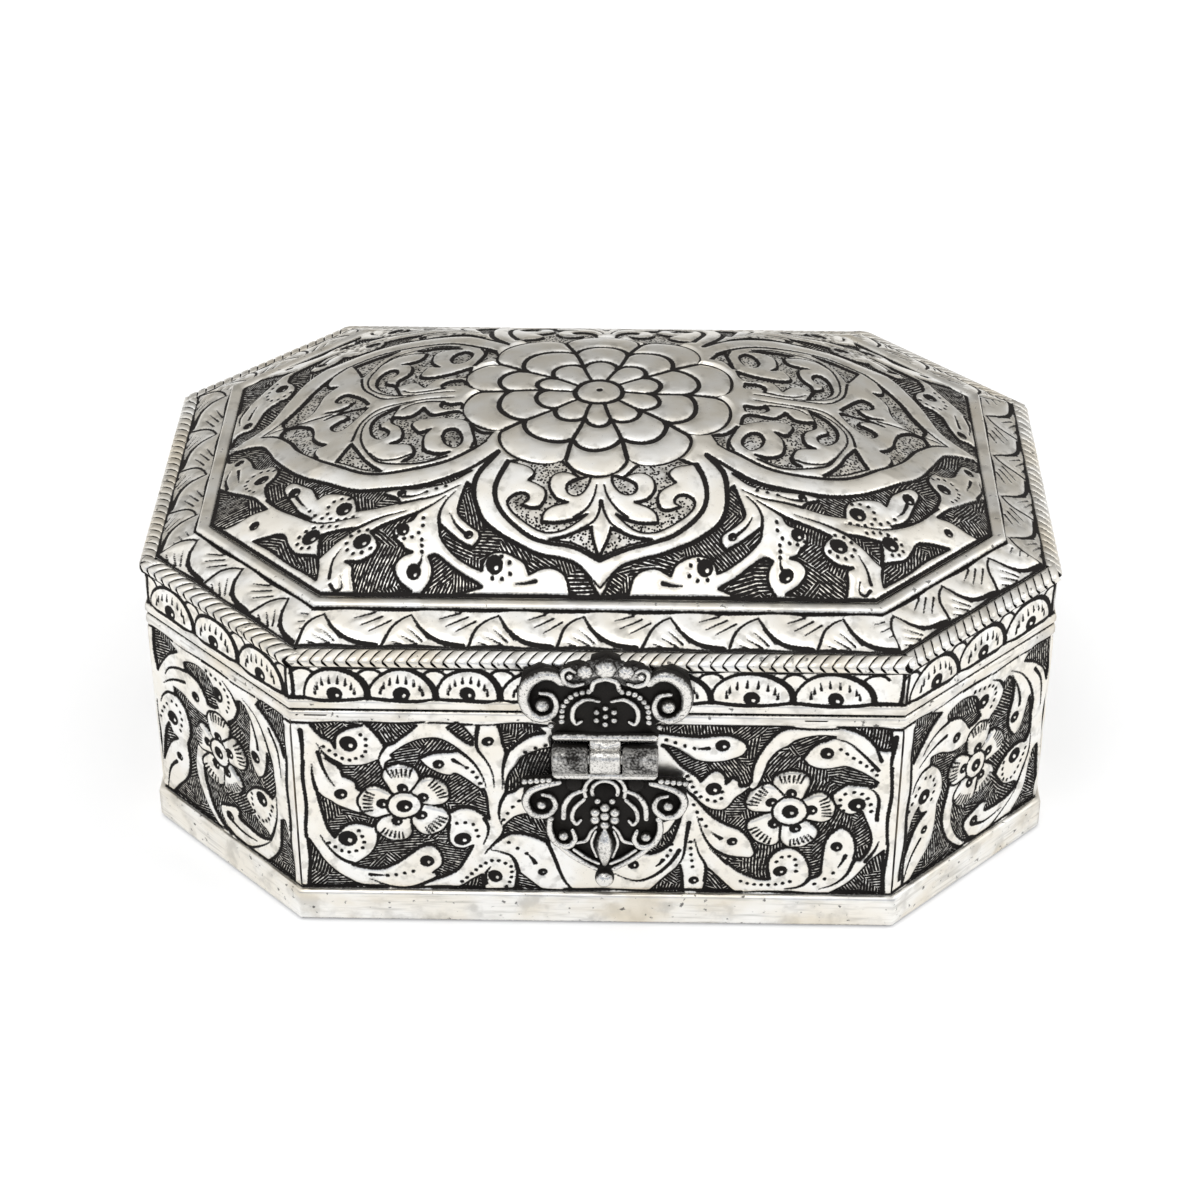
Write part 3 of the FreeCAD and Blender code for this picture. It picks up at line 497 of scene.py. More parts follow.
class Finish:
    """Builds the nodes of one material, or of a world if its tree is given."""

    def __init__(self, name, tree=None):
        if tree is None:
            self.material = bpy.data.materials.new(name)
            self.material.use_nodes = True
            tree = self.material.node_tree
        self.tree = tree
        self.tree.nodes.clear()
        self.place = self.node("ShaderNodeVectorMath", {"operation": "SCALE"},
                               {0: self.node("ShaderNodeTexCoord", output="Object"), "Scale": 1 / MM})

    def node(self, kind, settings=None, inputs=None, output=0):
        """One output of a new node, whose inputs are values or fields."""
        plain = {}
        for key, value in (inputs or {}).items():
            plain[key] = value.socket if isinstance(value, Field) else value
        return Field(self, new_node(self.tree, kind, settings, plain).outputs[output])

    def attribute(self, name):
        """A surface field that is kept on the mesh."""
        return self.node("ShaderNodeAttribute", {"attribute_name": name}, output="Fac")

    def noise(self, scale, detail, vector=None):
        """Cloudy noise whose scale counts features in a millimetre."""
        inputs = {"Vector": vector or self.place, "Scale": scale, "Detail": detail}
        return self.node("ShaderNodeTexNoise", {}, inputs)

    def stretched(self, x, y, z):
        """Place in millimetres, with each axis scaled by its own factor."""
        return self.node("ShaderNodeVectorMath", {"operation": "MULTIPLY"}, {0: self.place, 1: (x, y, z)})

    def blend(self, factor, first, second):
        """A colour between two others, which are fields or have no alpha yet."""
        low, high = (each if isinstance(each, Field) else (*each, 1.0) for each in (first, second))
        return self.node("ShaderNodeMix", {"data_type": "RGBA"}, {0: factor, 6: low, 7: high}, output=2)

    def bump(self, height, distance, strength):
        """A surface normal from a height whose full range is a distance in millimetres."""
        inputs = {"Height": height, "Strength": strength, "Distance": distance * MM}
        return self.node("ShaderNodeBump", {}, inputs)

    def surface(self, **inputs):
        """The shader at the end, with its sockets given by name with underscores for spaces."""
        named = {name.replace("_", " ").title(): value for name, value in inputs.items()}
        named["Specular IOR Level"] = named.pop("Specular", 0.5)
        shader = self.node("ShaderNodeBsdfPrincipled", {}, named)
        self.node_output(shader)
        return self.material

    def node_output(self, shader, kind="ShaderNodeOutputMaterial"):
        """Join a shader to the end of the tree."""
        output = self.tree.nodes.new(kind)
        self.tree.links.new(shader.socket, output.inputs["Surface"])


def chased_metal(settings):
    """Pale scuffed white metal with blackened marks, black hatched ground, stippled ground, and tarnish
    with painted shade in the hollows and beside the cuts.
    """
    finish = Finish("chased_metal")
    panel = finish.node("ShaderNodeCombineXYZ", {},
                        {0: finish.attribute("across"), 1: finish.attribute("up")})
    grit = finish.noise(2.6, 2.0, panel)
    cloud = finish.noise(0.16, 3.0)
    ink = finish.attribute("ink") + (grit - 0.5) * 0.3
    mark = 1 - ink.between(-0.04, 0.12)
    ground = (finish.attribute("ground") + (grit - 0.5) * 0.2).between(0.0, 0.14)
    petal = 1 - finish.attribute("stipple").between(-0.6, 0.4)

    # Chisel strokes whose direction changes from patch to patch
    patches = {"Vector": panel, "Scale": settings.hatch_patch}
    patch = finish.node("ShaderNodeTexVoronoi", {}, patches, "Color")
    turn = finish.node("ShaderNodeSeparateColor", {}, {0: patch}) * math.pi
    across, up = finish.attribute("across"), finish.attribute("up")
    over = across * turn.math("COSINE", turn) + up * turn.math("SINE", turn)
    half_pitch = settings.hatch_pitch / MM / 2
    ridge = over.math("PINGPONG", over, half_pitch) / half_pitch
    broken = finish.noise(1.2, 3.0, panel)
    stroke = (ridge + (broken - 0.5) * 1.5).between(0.74, 0.93)
    specks = finish.node("ShaderNodeTexVoronoi", {}, {"Vector": panel, "Scale": 2.2}, "Distance")
    speck = 1 - (specks + (grit - 0.5) * 0.3).between(0.36, 0.52)
    lit = petal * (0.76 - speck * 0.76 - stroke * 0.9) + stroke * 0.9
    dark = mark | (ground * (1 - lit))

    # Tarnish with painted shade in the sunk hollows, the same beside the cuts, and scuffs
    hollow = 1 - (0 - finish.attribute("ground")).between(-0.1, 0.75)
    hollow_tarnish_and_painted_shade = hollow * finish.noise(0.4, 5.0).between(0.46, 0.68)
    pale = finish.blend(cloud.between(0.35, 0.68), settings.metal_warm, settings.metal_cool)
    stained = finish.blend(finish.noise(0.09, 4.0).between(0.62, 0.78) * 0.4, pale, settings.stain)
    # Tarnish with painted shade beside the cut marks
    beside = (1 - finish.attribute("ink").between(0.1, 2.0)) * finish.noise(0.5, 6.0).between(0.5, 0.66)
    with_tarnish_and_painted_shade = finish.blend((hollow_tarnish_and_painted_shade * 0.75) | (beside * 0.45), stained, settings.tarnish_and_painted_shade)
    scuffs = finish.noise(3.2, 5.0).between(0.66, 0.74)
    colour = finish.blend((scuffs * 0.35) | dark, with_tarnish_and_painted_shade, settings.ink)
    beaten = finish.noise(0.22, 2.0) + lit * ground * 0.35 + grit * 0.06
    return finish.surface(
        base_color=colour,
        metallic=1 - dark * 0.95,
        roughness=0.24 + cloud * 0.14 + dark * 0.34 + scuffs * 0.1,
        specular=0.06,
        normal=finish.bump(beaten, 0.16, 0.7),
    )


def plain_metal(settings):
    """Folded sheet with rubbed streaks, small pits and blackened seams; the rope strip, the rope's slits
    and the plinth's foot are blackened as painted shade.
    """
    finish = Finish("plain_metal")
    streak = finish.noise(0.5, 4.0, finish.stretched(0.25, 0.25, 3.0))
    cloud = finish.noise(0.12, 3.0)
    pits = 1 - finish.noise(0.8, 6.0).between(0.3, 0.37)
    smoke = finish.noise(0.28, 6.0).between(0.46, 0.7)
    stains = finish.noise(0.07, 4.0, finish.stretched(1.0, 1.0, 2.0)).between(0.46, 0.7)
    grit = finish.noise(2.4, 3.0)
    # Blackened seams, and painted shade where the mesh marks it
    seam = 1 - (finish.attribute("ink") + (grit - 0.5) * 0.5).between(-0.08, 0.22)
    pale = finish.blend(cloud.between(0.3, 0.7), settings.metal_warm, settings.metal_cool)
    rubbed = finish.blend((streak.between(0.46, 0.76) | smoke) * 0.42, pale, settings.tarnish_and_painted_shade)
    creamy = finish.blend(stains * 0.6, rubbed, settings.stain)
    dark = (pits * 0.75) | seam
    colour = finish.blend(dark, creamy, settings.ink)
    height = streak * 0.4 + cloud - pits * 0.5
    return finish.surface(
        base_color=colour,
        metallic=1 - dark * 0.95,
        roughness=0.27 + streak * 0.16 + dark * 0.3,
        specular=0.06,
        normal=finish.bump(height, 0.14, 0.7),
    )


def cast_metal(settings):
    """Antique casting, black in its hollows and rubbed bright on its highest places, with painted
    highlights along the tops of rods and beads and painted shade down their sides.
    """
    finish = Finish("cast_metal")
    grain = finish.noise(2.6, 5.0)
    cloud = finish.noise(0.35, 3.0)
    # Highs rubbed bright, with painted highlight on tops and painted shade on sides, from the value kept on
    # the mesh
    proud = finish.attribute("proud") + (grain - 0.5) * 0.7 + (cloud - 0.5) * 0.7
    wear_and_painted_light = proud.between(0.54, 1.04)
    mid = finish.blend(wear_and_painted_light, settings.cast_hollow_and_painted_shade, settings.cast_rubbed_and_painted_highlight)
    pits = 1 - grain.between(0.3, 0.4)
    colour = finish.blend(pits * 0.7, mid, settings.ink)
    return finish.surface(
        base_color=colour,
        metallic=wear_and_painted_light,
        roughness=0.36 - wear_and_painted_light * 0.2 + (grain - 0.5) * 0.2,
        specular=0.06,
        normal=finish.bump(grain + cloud, 0.12, 0.8),
    )


def hinge_metal(settings):
    """Rolled hinge strip, dulled and a little scratched."""
    finish = Finish("hinge_metal")
    drawn = finish.noise(0.8, 4.0, finish.stretched(0.3, 2.0, 3.0))
    cloud = finish.noise(0.3, 3.0)
    spots = finish.noise(1.6, 5.0).between(0.62, 0.72)
    steel = finish.blend(drawn.between(0.35, 0.7), settings.cast_rubbed_and_painted_highlight, settings.metal_warm)
    dull = finish.blend(cloud.between(0.45, 0.75) * 0.5, steel, settings.cast_hollow_and_painted_shade)
    colour = finish.blend(spots * 0.6, dull, settings.ink)
    return finish.surface(
        base_color=colour,
        metallic=1 - spots * 0.5,
        roughness=0.3 + drawn * 0.2 + spots * 0.2,
        normal=finish.bump(drawn + cloud, 0.06, 0.6),
    )


def carcass_wood(settings):
    """Pale soft wood, planed and unvarnished."""
    finish = Finish("carcass_wood")
    along = finish.stretched(0.05, 0.05, 0.6)
    warp = finish.noise(0.4, 2.0, along)
    rings = finish.node("ShaderNodeTexWave", {"wave_type": "BANDS", "bands_direction": "Z"},
                        {"Vector": along, "Scale": 0.6, "Distortion": 5.0, "Detail": 2.0})
    pores = finish.noise(1.2, 4.0, finish.stretched(0.15, 0.15, 2.5))
    grain = finish.blend(rings * 0.55 + warp * 0.45, settings.wood_light, settings.wood_dark)
    colour = finish.blend(pores.between(0.55, 0.75) * 0.4, grain, settings.wood_dark)
    return finish.surface(
        base_color=colour,
        metallic=0.0,
        roughness=0.62 + pores * 0.2,
        normal=finish.bump(rings * 0.4 + pores, 0.08, 0.6),
    )


def pile_fabric(name, cloth, shade, sheen):
    """Short pile cloth: brushed lighter and darker in patches, with a sheen at glancing angles."""
    finish = Finish(name)
    nap = finish.noise(0.12, 3.0)
    pile = finish.noise(3.4, 3.0)
    brushed = finish.blend(nap.between(0.36, 0.66) * 0.8 + pile * 0.2, cloth, shade)
    flecked = finish.blend(pile.between(0.55, 0.8) * 0.35, brushed, shade)
    return finish.surface(
        base_color=flecked,
        metallic=0.0,
        roughness=0.92 - nap * 0.12,
        sheen_weight=sheen,
        sheen_roughness=0.4,
        normal=finish.bump(pile + nap, 0.3, 0.8),
    )


def finish_named(name, settings):
    """A finish of the box, made the first time that it is asked for."""
    known = bpy.data.materials.get(name)
    if known:
        return known
    makers = {
        "chased_metal": chased_metal,
        "plain_metal": plain_metal,
        "cast_metal": cast_metal,
        "hinge_metal": hinge_metal,
        "carcass_wood": carcass_wood,
        "velvet": lambda given: pile_fabric("velvet", given.velvet, given.velvet_shade, 0.9),
        "felt": lambda given: pile_fabric("felt", given.felt, given.felt_shade, 0.3),
    }
    return makers[name](settings)


# Ornament of the walls: sunk ground in runs that meet at cusps, then cuts, rows of dots, and eyes

WALL_LIFT = 1.4
LEFT_SUNK = (
    (((-45.6, 38.9), (-41.5, 39)), ((-37.6, 38.4), (-39.3, 37.9), (-40.8, 37), (-41.6, 36)),
     ((-41.9, 33.8), (-42.5, 35.1), (-43.8, 36), (-44.9, 37.6))),
    (((-37.3, 39), (-33, 39.1)), ((-28.6, 38.6), (-30.1, 37.2), (-31.6, 36), (-32.6, 35)), ((-34, 34.7),
     (-34.9, 36.3), (-36.1, 37.9))),
    (((-43.8, 31.8), (-42.4, 30.8), (-41, 30.5), (-39.6, 30.5), (-37.3, 30.7)), ((-35, 31.6),
     (-34.5, 29.6)), ((-31.2, 22.7),), ((-37.9, 25), (-38.7, 25.8), (-39, 27.1), (-39.9, 27.9)),
     ((-41, 28.4), (-41.4, 29.7), (-42.6, 31))),
    (((-45.3, 25.3), (-44.3, 24.1), (-43.1, 23.2), (-42.2, 22.3), (-40.5, 21.3), (-38.8, 20.6)),
     ((-36.1, 20.2), (-36.1, 18.6)), ((-36.8, 18.1), (-38.8, 18.6), (-40.5, 18.3), (-41.7, 17.3)),
     ((-42.8, 15.4), (-43.8, 17.2), (-44.5, 19.6), (-45, 22.2))),
    (((-35.9, 17.6), (-35.9, 15.6), (-36.3, 13.6), (-37.2, 12), (-38.8, 10.7)), ((-40.2, 10),
     (-38.2, 9.2), (-36.1, 8.9), (-34.3, 9.3), (-32.5, 10.5), (-30.6, 12.4), (-28.6, 14)), ((-27, 14.4),
     (-25.8, 13.3), (-25.4, 11.6), (-25.6, 10)), ((-26.9, 8.6), (-26.2, 7.8)), ((-27.4, 6.6),
     (-24.8, 7.7), (-23, 9), (-21.8, 10.7), (-20.6, 12.8)), ((-20.1, 14.2), (-21.5, 13.6), (-23, 13.9),
     (-23.9, 15.1), (-24.1, 16.9)), ((-24, 18.6), (-31.2, 22.7))),
    (((-32.9, 32.6), (-31.3, 34.1), (-29.8, 35.1), (-27.7, 35.8), (-25.4, 36), (-23.6, 35.3)),
     ((-22, 34), (-23.5, 33.6), (-25.2, 33.5), (-27.1, 32.9)), ((-28.6, 31.9), (-27.4, 30.6),
     (-25.7, 29.4), (-24.4, 28.8)), ((-23.3, 28.6), (-22.8, 29), (-20.9, 27.6), (-19.3, 26.3)),
     ((-18, 25.6), (-17.6, 23.8)), ((-17.4, 19.9), (-18.4, 20.8), (-19.6, 21.8), (-20.9, 22.2),
     (-22.4, 22)), ((-23.8, 21.1),), ((-31.2, 22.7),), ((-34.1, 29.6), (-33.6, 31.1), (-32.5, 31.8))),
    (((-22.3, 39.4),), ((-23.7, 38.2), (-22.4, 37), (-20.9, 35.7)), ((-19.8, 34.9), (-19.7, 36.3),
     (-20.9, 38.2))),
    (((-16, 39), (-13, 39.1), (-9.9, 38.9)), ((-8.2, 37.6), (-10.2, 37.1), (-12, 35.9), (-13.2, 34.6)),
     ((-14.3, 33.2), (-15, 35.2), (-15.4, 37.2))),
    (((-7, 34.6), (-8.6, 34.4), (-10.2, 33.7), (-11.8, 32.6), (-12.7, 31), (-13.8, 29.6),
     (-14.6, 27.8)), ((-14.8, 25.2), (-13.6, 25.6), (-12.4, 26.6), (-10, 27.4)), ((-7, 27.4),)),
    (((-14.9, 18.4), (-13, 20.2), (-10.8, 20.9)), ((-8, 20.9), (-7, 17.5)), ((-7.8, 15), (-9.6, 16.2),
     (-11.4, 16.8), (-13.2, 16.9), (-14.8, 16.4)), ((-16.6, 15), (-15.6, 16.4))),
    (((-12.8, 9), (-13.1, 7)), ((-13.6, 4.9), (-12.3, 4), (-10.2, 3.8)), ((-8.2, 4.5), (-9.6, 5.6),
     (-11.4, 7.4))),
    (((-25, 4.2), (-22.4, 5.5), (-20.6, 7)), ((-18.9, 8.2), (-18.9, 6.2)), ((-18.2, 4.2), (-21, 4))),
    (((-47, 15.2), (-46, 12.8), (-45, 10.7), (-43.2, 8.6), (-41.1, 6.8), (-39, 5.5)), ((-34.2, 4.6),
     (-40, 4.2)), ((-47.2, 4.2), (-47.3, 10))),
)
LEFT_CUTS = (
    ((-44.9, 34.8), (-44.1, 33), (-42.9, 31.7), (-41.4, 30.8)),
    ((-42.2, 26.4), (-43.5, 28.5), (-44.4, 30.6), (-44.9, 33)),
    ((-45.9, 30.6), (-45.7, 28), (-45.3, 25.6)),
    ((-45.1, 16), (-44.4, 14.4), (-43.2, 12.5), (-41.7, 11.1), (-40, 10.3)),
    ((-34.8, 7.6), (-36.2, 7.6), (-37.4, 7.7)),
    ((-37.6, 6.8), (-35.2, 5.8), (-32.5, 5.3), (-29.8, 5.6), (-27.1, 6.8)),
    ((-34.9, 31.6), (-34.4, 33.2), (-33.6, 34.8)),
    ((-15.3, 26.2), (-15.2, 29.1), (-14.8, 31.2), (-14.2, 33.3)),
    ((-16.6, 26.5), (-17, 29.7), (-17.8, 31.8), (-18.9, 34), (-19.1, 36), (-19, 38.8)),
    ((-17.9, 26.6), (-18.7, 28.8), (-19.7, 30.9), (-20.9, 32.6), (-22.2, 34)),
    ((-15.2, 17.6), (-15.7, 20.4), (-15.4, 23.4), (-14.7, 25.4)),
    ((-17.2, 13.3), (-15.6, 13), (-14.1, 12.4), (-13.2, 11), (-12.7, 9)),
    ((-1.3, 4.4), (-3.7, 5.3), (-5.5, 7.7), (-6.6, 10.4), (-7.9, 15)),
    ((-18.2, 12.4), (-17.1, 14.2), (-15.8, 15.8)),
    ((-18.5, 14.4), (-17.9, 16.6), (-17.8, 18.4), (-18.3, 20)),
    ((-17.3, 9.9), (-18.3, 8.4), (-18.4, 6.4)),
    ((-11.4, 12.7), (-10.7, 11.8), (-10.1, 10.7)),
    ((-21.2, 30.4), (-22.2, 31.2), (-23.2, 32)),
)
LEFT_DOTS = (
    ((-43.8, 34.1), (-42.9, 33.3), (-41.9, 32.5), (-40.3, 31.7), (-38.8, 32), (-37.2, 32.8),
     (-36.8, 34.4), (-36.9, 36), (-37.7, 36.7)),
    ((-43.7, 14.3), (-42.9, 13.7), (-41.1, 12.7), (-39.3, 13), (-38.2, 13.8), (-38.2, 15.3),
     (-39, 17.1)),
    ((-22.9, 19), (-21.8, 19.2), (-20.4, 19), (-19.8, 17.7), (-19.4, 16.2)),
    ((-34.4, 7.6), (-32.5, 8), (-30.1, 8.8)),
    ((-21, 30.2), (-19.9, 29.1), (-19.1, 27.6), (-18.3, 26)),
    ((-12.6, 23.6), (-13.5, 22.3), (-14.2, 21.1), (-15, 19.6)),
    ((-11.4, 33.7), (-10.5, 34.2), (-9.5, 34.8), (-8.3, 35.2)),
    ((-14.5, 15), (-13, 13.9), (-11.6, 12.9)),
    ((-22.3, 6.5), (-21.1, 7.8), (-19.1, 9.8), (-17.7, 10.8), (-16.5, 11.3), (-15.1, 10.9),
     (-13.9, 10.1), (-13.8, 8.5), (-14.2, 6.9), (-15.4, 5.3), (-17.1, 4.8)),
)
LEFT_EYES = (
    (-39.6, 34.8, 1.45), (-41.3, 24.7, 1.1), (-40.7, 15.4, 1.5), (-28, 11, 1.15), (-25.5, 31.1, 0.9),
    (-21.8, 15.7, 1.35), (-16.7, 8, 1.25), (-17.3, 35.6, 0.95), (-8.8, 8.7, 0.75),
)
RIGHT_SUNK = (
    (((9, 39.3), (16, 39.4), (24, 39.4)), ((31.5, 39.2), (29.6, 38.6), (28, 37.2), (26.8, 35.2),
     (25.8, 32.7), (25.1, 30.6)), ((24.8, 28.3), (24.2, 27.5)), ((23, 27.3), (22.7, 28.3),
     (21.8, 28.8)), ((20.8, 27.6), (20.5, 29.2), (19.4, 30.2), (18.2, 29.9)), ((16.9, 28), (16.2, 29.2),
     (15, 30.2), (13.2, 31.8)), ((10.5, 35.2), (12.4, 34.6), (14.1, 33.6), (15.4, 32.7), (17.4, 32.1),
     (20, 32), (21.9, 32.5), (23.6, 33.3)), ((24.4, 34.7), (23.8, 35.9), (22.6, 36.9), (21, 37.6),
     (19.1, 37.5), (16.5, 37.1), (13, 37.2)), ((9, 37.9),)),
    (((31.3, 22.4),), ((26, 27.6), (26.6, 29), (27.3, 30.8), (27.9, 32.6), (29.1, 34.6), (30.4, 35.5),
     (31.8, 36.7), (34, 37.4), (36, 37.6)), ((38.2, 37.3), (36.9, 36.6), (35.4, 36.1), (34, 34.8)),
     ((32.9, 32.9), (34, 31.5), (35.5, 30.8), (37.1, 30.8), (38.5, 31.2), (40, 31.5), (41.6, 30.9),
     (43.2, 29.9)), ((45.2, 28.2), (44.6, 27.3), (43, 27.6), (41.6, 27.8), (40.4, 28), (39.2, 27)),
     ((38.2, 25.9), (38.5, 24.4), (39.1, 23.2)), ((39.8, 22), (41.4, 21.5)), ((43.2, 22.2),
     (43.9, 20.4), (44.6, 18), (44.7, 15.8), (44.2, 13.6)), ((43.4, 12.2), (42.4, 12.6), (42.5, 14.4),
     (41.9, 16.9), (40.9, 18.3)), ((39.7, 19), (38.2, 17.6), (37.5, 15.8), (37.3, 14), (37, 11.8),
     (36.6, 9.2)), ((35.2, 8.2), (34.9, 10.4), (34, 12.8), (32.8, 14.2)), ((31.4, 14.9), (29.6, 14.2),
     (28.4, 12.8), (28.2, 10.8)), ((28.8, 7.8), (27, 7.9), (25.6, 8.6), (23.6, 9.6)), ((21.6, 11.2),
     (22, 12.3), (23.6, 12.4), (25.4, 12.5), (25.9, 13.6)), ((25.3, 15.2),)),
    (((16, 24.5), (17.4, 23.1), (18.8, 22.4), (20.6, 22.4), (21.8, 23.4), (22.7, 25), (23.6, 25.9)),
     ((24.5, 27), (28, 24), (28, 18)), ((25.3, 15.4), (24.6, 16.6), (23, 18.4), (21.2, 19.3),
     (19.1, 20.8), (17.6, 22.3))),
    (((38.4, 39.4), (43, 39.4)), ((46.6, 39.2), (47, 37)), ((47.2, 34.8), (46, 34.9), (44.8, 35.5),
     (43.6, 36.9), (41.8, 38.1))),
    (((46.9, 14.2), (45.4, 12.4), (44.4, 10.8), (43, 8.9), (41.2, 7)), ((38.8, 5.2), (43, 4.4)),
     ((47.2, 4.3), (47.2, 9))),
    (((13.7, 22.4), (12.9, 19.6), (12, 17.6), (10.5, 16.4), (8.5, 15.4)), ((6.5, 15), (6.6, 13.4)),
     ((8.7, 12.8), (10.5, 13.7), (12.4, 15.6), (13.3, 18.4))),
    (((13.6, 10.8), (14.1, 8.3)), ((14.4, 4.4), (11, 4)), ((7, 4.2), (9.2, 5.6), (11.1, 7.8))),
    (((18, 10.2), (17.9, 7.1)), ((17.6, 4.1), (21, 4)), ((25.4, 4.1), (23, 5.1), (21.2, 6.8))),
)
RIGHT_CUTS = (
    ((44.6, 35.6), (45.3, 34.2), (45.8, 32.7)),
    ((38.1, 37), (40.6, 36), (42.7, 34.2), (44.2, 32.4), (45.3, 30.8)),
    ((43.4, 27.5), (45.1, 25.9), (45.7, 24.1), (45.7, 20.8)),
    ((46, 16.3), (45.4, 14.3), (44.3, 11.9)),
    ((36.9, 6.1), (39.1, 7.1), (41.2, 9.2), (42.5, 12.2)),
    ((39.7, 10.7), (40.5, 12), (41, 13.3)),
    ((31.2, 5.8), (33.2, 6.3), (34.4, 7.1), (35, 8.2)),
    ((3, 8.6), (5.4, 7.4), (7.6, 7.4), (10, 8.8), (12, 11.3), (13.6, 14)),
    ((13.2, 10.7), (14.2, 12.8), (14.8, 16), (15, 19.6)),
    ((16.2, 16.4), (17, 13.1), (17.9, 10.6), (17.8, 7.4)),
    ((13.6, 10.4), (14.1, 8.3), (14.4, 4.7)),
    ((16.2, 20.9), (17.4, 17.5), (19.1, 14.5), (21.2, 12.8), (23, 12.3)),
    ((18.7, 14.4), (20.3, 12.5), (21.6, 11.1)),
    ((18.6, 17.9), (19.5, 17.1), (20.3, 16.4)),
    ((13.9, 27.6), (14.9, 26), (16, 24.7)),
    ((16, 34.9), (17, 34.9), (18, 35)),
    ((9.8, 10.4), (10.4, 11.1), (10.8, 11.8)),
    ((12.2, 33.2), (11.4, 34.2), (10.4, 35.2)),
)
RIGHT_DOTS = (
    ((11, 36.3), (13.5, 35.4), (15.6, 34.9)),
    ((14.7, 29.3), (15.3, 27.9), (16.1, 26), (17.2, 24.7), (19, 24.1), (20.3, 24.6), (20.4, 26)),
    ((39.1, 34.8), (41.2, 33.3), (43, 32.1), (44.2, 30.9), (45, 29.8)),
    ((38.9, 9.6), (37.6, 8.4), (36, 7.2)),
    ((40.3, 26), (41.6, 26.3), (42.8, 25.9), (43.8, 25), (44.5, 23.7), (44.7, 22.4)),
    ((39.6, 24.8), (39.6, 23.6), (40.1, 22.4)),
    ((29.5, 11.7), (30.3, 12.7), (31.6, 12.8), (32.5, 12), (32.8, 9.6)),
    ((23.8, 7.6), (25.6, 6.9), (28.6, 6.6), (30.6, 6.9), (32.1, 7.4)),
    ((12.4, 15.1), (12.1, 13.8), (11.5, 12.7)),
    ((15.7, 23.2), (16.5, 21.1), (17.7, 19.1)),
    ((15.6, 15.8), (15.6, 13), (15.7, 10.4)),
)
RIGHT_EYES = (
    (20.3, 35.5, 1.2), (19, 26.5, 1.25), (36.8, 34, 1.15), (42.3, 23.6, 1.4), (39.4, 15, 0.95),
    (30.3, 9.6, 1.1), (22.1, 15.7, 0.85), (16, 7.4, 0.8), (6.2, 10.5, 0.9),
)
FLOWERS = (
    ((-31.2, 22.7, 2.5), ((-31.6, 28.1), (-26.4, 25.4), (-26.9, 19.2), (-33, 17.6), (-36, 23)), 2.75),
    ((31.3, 22.4, 2.6), ((31.5, 27.9), (26.9, 24.8), (27.4, 18), (33.1, 17.3), (36.2, 23.1)), 2.75),
)
CORNER_FLOWER = ((-0.8, 21.8, 2.3), ((-0.8, 27.9), (3.7, 24), (1.8, 17.4), (-3.2, 17), (-5.3, 22.8)), 2.5)
CORNER_SUNK = (
    (((-17.4, 39.2), (-14, 38.9)), ((-10.8, 37.6), (-13.4, 35.8), (-15.2, 33.4)), ((-17, 30.6),
     (-17.5, 35))),
    (((-9, 34.6), (-8.9, 36.3), (-5.6, 37.2), (-2.7, 36.6)), ((-1.4, 35.4), (-1.2, 33.4)),
     ((-0.4, 31.6), (-1.8, 30.9)), ((-3.4, 30.7), (-4.4, 32.4), (-6, 33.9))),
    (((-12.6, 29.2), (-10.2, 28.9), (-8.3, 28.1), (-6, 27.6)), ((-3.6, 27.8), (-0.8, 21.8)),
     ((-7.5, 20.6), (-8, 17.4), (-8.3, 14.8), (-8, 12.2), (-6.7, 9), (-4.4, 6.2)), ((-2, 4.4),
     (-8, 4.3)), ((-16.6, 4.4), (-13.9, 7.4), (-11.5, 10.4), (-10.2, 14), (-10, 16.6)), ((-10.1, 18.7),
     (-9.3, 21), (-9.4, 24), (-10.4, 26.2)), ((-12.6, 27.8),)),
    (((-15, 20.4), (-14.2, 18.9)), ((-12.8, 18.4), (-15, 16.8), (-16.6, 14.4)), ((-17.6, 11.6),
     (-17.2, 15.6), (-16.3, 18.4))),
    (((5, 35.6), (5.9, 36)), ((6.6, 35.6), (7.7, 34), (8, 30.7), (7.3, 27), (7.8, 24.3)), ((9.2, 22.2),
     (10.9, 23.6), (12, 26.4)), ((12.4, 29), (13.2, 27.2), (13.7, 24.8), (13.6, 21.6)), ((12.6, 19.7),
     (10.7, 20.2), (8.2, 19.4), (6.2, 17.6)), ((5.2, 16.2), (-0.8, 21.8)), ((2.2, 29.8), (4, 31.2),
     (5, 33.2))),
    (((-5.8, 16), (-5.7, 12.6), (-4.4, 8.8), (-2.4, 6.2)), ((0, 4.9), (-1.2, 6.6), (-2.3, 8.8),
     (-2, 10.4), (-0.2, 11.1), (2.2, 12)), ((3.4, 11.4), (3.2, 9.9), (5.7, 9.6), (9, 9.6)),
     ((11.4, 10.6), (10.6, 12), (9, 12.5), (7.6, 13.1), (6.2, 14.8)), ((5.2, 16.2), (-0.8, 21.8))),
    (((10.2, 37.4), (12.3, 39.2)), ((17.2, 39.3), (17.3, 34.6)), ((16.6, 30.4), (15.8, 33),
     (14.6, 34.6), (12.8, 36.2))),
    (((15, 16.6), (14.6, 13.6), (14, 10.6), (12.6, 7.6)), ((10, 4.5), (14, 4.3)), ((17.2, 4.4),
     (16.9, 11), (16, 16.8))),
)
